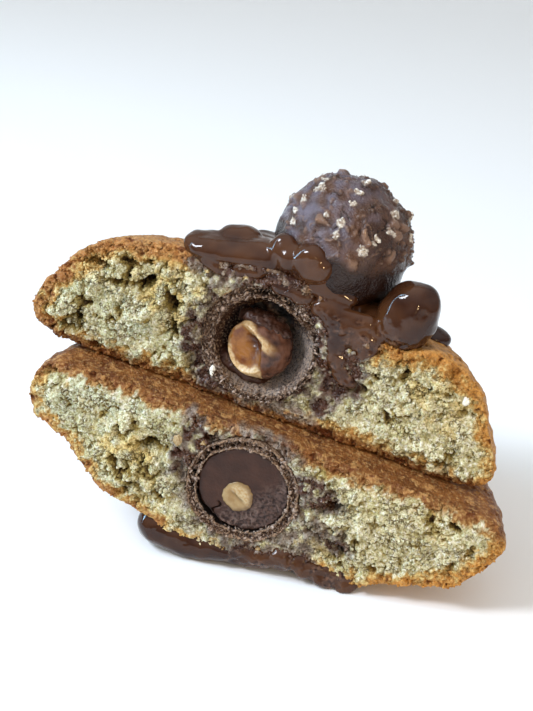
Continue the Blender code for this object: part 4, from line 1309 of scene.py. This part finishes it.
def build_studio():
    """A pale floor that curves up behind, a soft sky, two windows at the left and a lamp."""
    angles = np.radians(range(0, 91, 5))
    bend = [(0.9 + 0.9 * math.sin(a), 0.9 - 0.9 * math.cos(a)) for a in angles]
    strip = [(-3.0, 0.0), *bend, (1.8, 3.0)]
    points = [(x, y, z) for y, z in strip for x in (-3, 3)]
    faces = [(2 * i, 2 * i + 1, 2 * i + 3, 2 * i + 2) for i in range(len(strip) - 1)]
    floor = new_object("floor", bpy.data.meshes.new("floor"))
    floor.data.from_pydata(points, [], faces)
    floor.data.shade_smooth()
    material, _, shader, _ = start_material("pale_floor", 0.9, 1.45)
    shader.inputs["Base Color"].default_value = linear("#F6F6F4")
    floor.data.materials.append(material)

    world = bpy.data.worlds.new("soft_room")
    world.use_nodes = True
    tree = world.node_tree
    room = tree.nodes["Background"].inputs
    room["Color"].default_value = linear("#F3F6FA")
    way = add(tree, "ShaderNodeTexCoord", out="Generated")
    up = add(tree, "ShaderNodeSeparateXYZ", (way,), "Z")
    sky = add(tree, "ShaderNodeMapRange", (up, 0.0, 0.95, 0.18, 1.1))
    seen = add(tree, "ShaderNodeLightPath", out="Is Camera Ray")
    backdrop = add(tree, "ShaderNodeMath", (seen, 0.8), operation="MULTIPLY")
    both = add(tree, "ShaderNodeMath", (sky, backdrop), operation="MAXIMUM")
    tree.links.new(both, room["Strength"])
    bpy.context.scene.world = world
    middle = (0, 0, 0.045)
    area_light("window", (-0.40, -0.30, 0.52), middle, (0.14, 0.20), 3.7, "#EEF4FF")
    area_light("side_window", (-0.55, -0.12, 0.34), middle, (0.03, 0.60), 2.4, "#A9DBFF")
    area_light("lamp", (0.30, -0.42, 0.16), middle, (0.03, 0.03), 0.6, "#FFD9A0")
    bpy.context.scene.view_settings.view_transform = "Standard"


def build_camera():
    camera = new_object("camera", bpy.data.cameras.new("camera"))
    camera.data.lens = CAMERA_LENS
    camera.data.clip_start = 0.01
    at, looks_at = Vector(CAMERA_AT) * MM, Vector(CAMERA_LOOKS_AT) * MM
    aim = (looks_at - at).to_track_quat("-Z", "Y").to_matrix().to_4x4()
    camera.matrix_world = Matrix.Translation(at) @ aim @ Matrix.Rotation(CAMERA_ROLL, 4, "Z")
    bpy.context.scene.camera = camera


# ---------------------------------------------------------------- all of it


def main():
    build_studio()
    build_camera()
    crumb, chocolate = crumb_material(), chocolate_material()
    wafer, cream = wafer_material(), cream_material()
    pale_nut = nut_material("hazelnut", "#A2895E", "#917346", "#8A5A34", "#CDBB94")
    roast_nut = nut_material("roasted_hazelnut", "#8E5A22", "#643414", "#341A0F", "#CDB389")
    sugar = dry_material("coarse_sugar", "#D8D2C0", "#F2EEE2", 0.7, 0.5)
    chopped = dry_material("chopped_hazelnut", "#8C7660", "#EEE8DC", 0.6, 0.3)
    flake = dry_material("wafer_flake", "#452F24", "#B59E8C", 0.6, 0.45)

    dry, wet = grain_tree("dry_grains", "torn", crumb), grain_tree("wet_grains", "wet", chocolate)
    for name in HALVES:
        half = build_crumb(name, crumb)
        scatter(
            name + "_grains", half, dry, crumb,
            seed=3, gap=0.6, density=2.2, sizes=(0.2, 0.5),
        )
        scatter(
            name + "_wet_grains", half, wet, chocolate,
            seed=5, gap=0.6, density=0.7, sizes=(0.2, 0.6),
        )

    flakes = grain_tree("wafer_flakes", "flaky", flake)
    shells = {name: build_wafer(name, *WAFERS[name], wafer) for name in WAFERS}
    for name, ground in shells.items():
        scatter(
            name + "_flakes", ground, flakes, flake,
            seed=2, gap=0.5, density=1.6, sizes=(0.2, 0.7), thickness=0.18,
        )
    build_lower_filling(cream)
    build_lower_nut(pale_nut)
    build_upper_filling(cream)
    build_upper_nut(roast_nut)

    praline = build_top_praline(coating_material())
    bare = grain_tree("chopped_nuts", "bare_nut", chopped)
    scatter(
        "chopped_nuts", praline, bare, chopped,
        seed=4, gap=0.45, density=2.2, sizes=(0.25, 0.75), thickness=0.4,
    )
    face_y = {name: half["face_y"] for name, half in HALVES.items()}
    build_chocolate("upper_chocolate", UPPER_CHOCOLATE, face_y["upper"], -30.0, chocolate)
    build_chocolate("lower_chocolate", LOWER_CHOCOLATE, face_y["lower"], 1.0, chocolate)
    build_loose_bits("nut_bits", 0.4, pale_nut)
    build_loose_bits("sugar_bits", 1.0, sugar)


main()
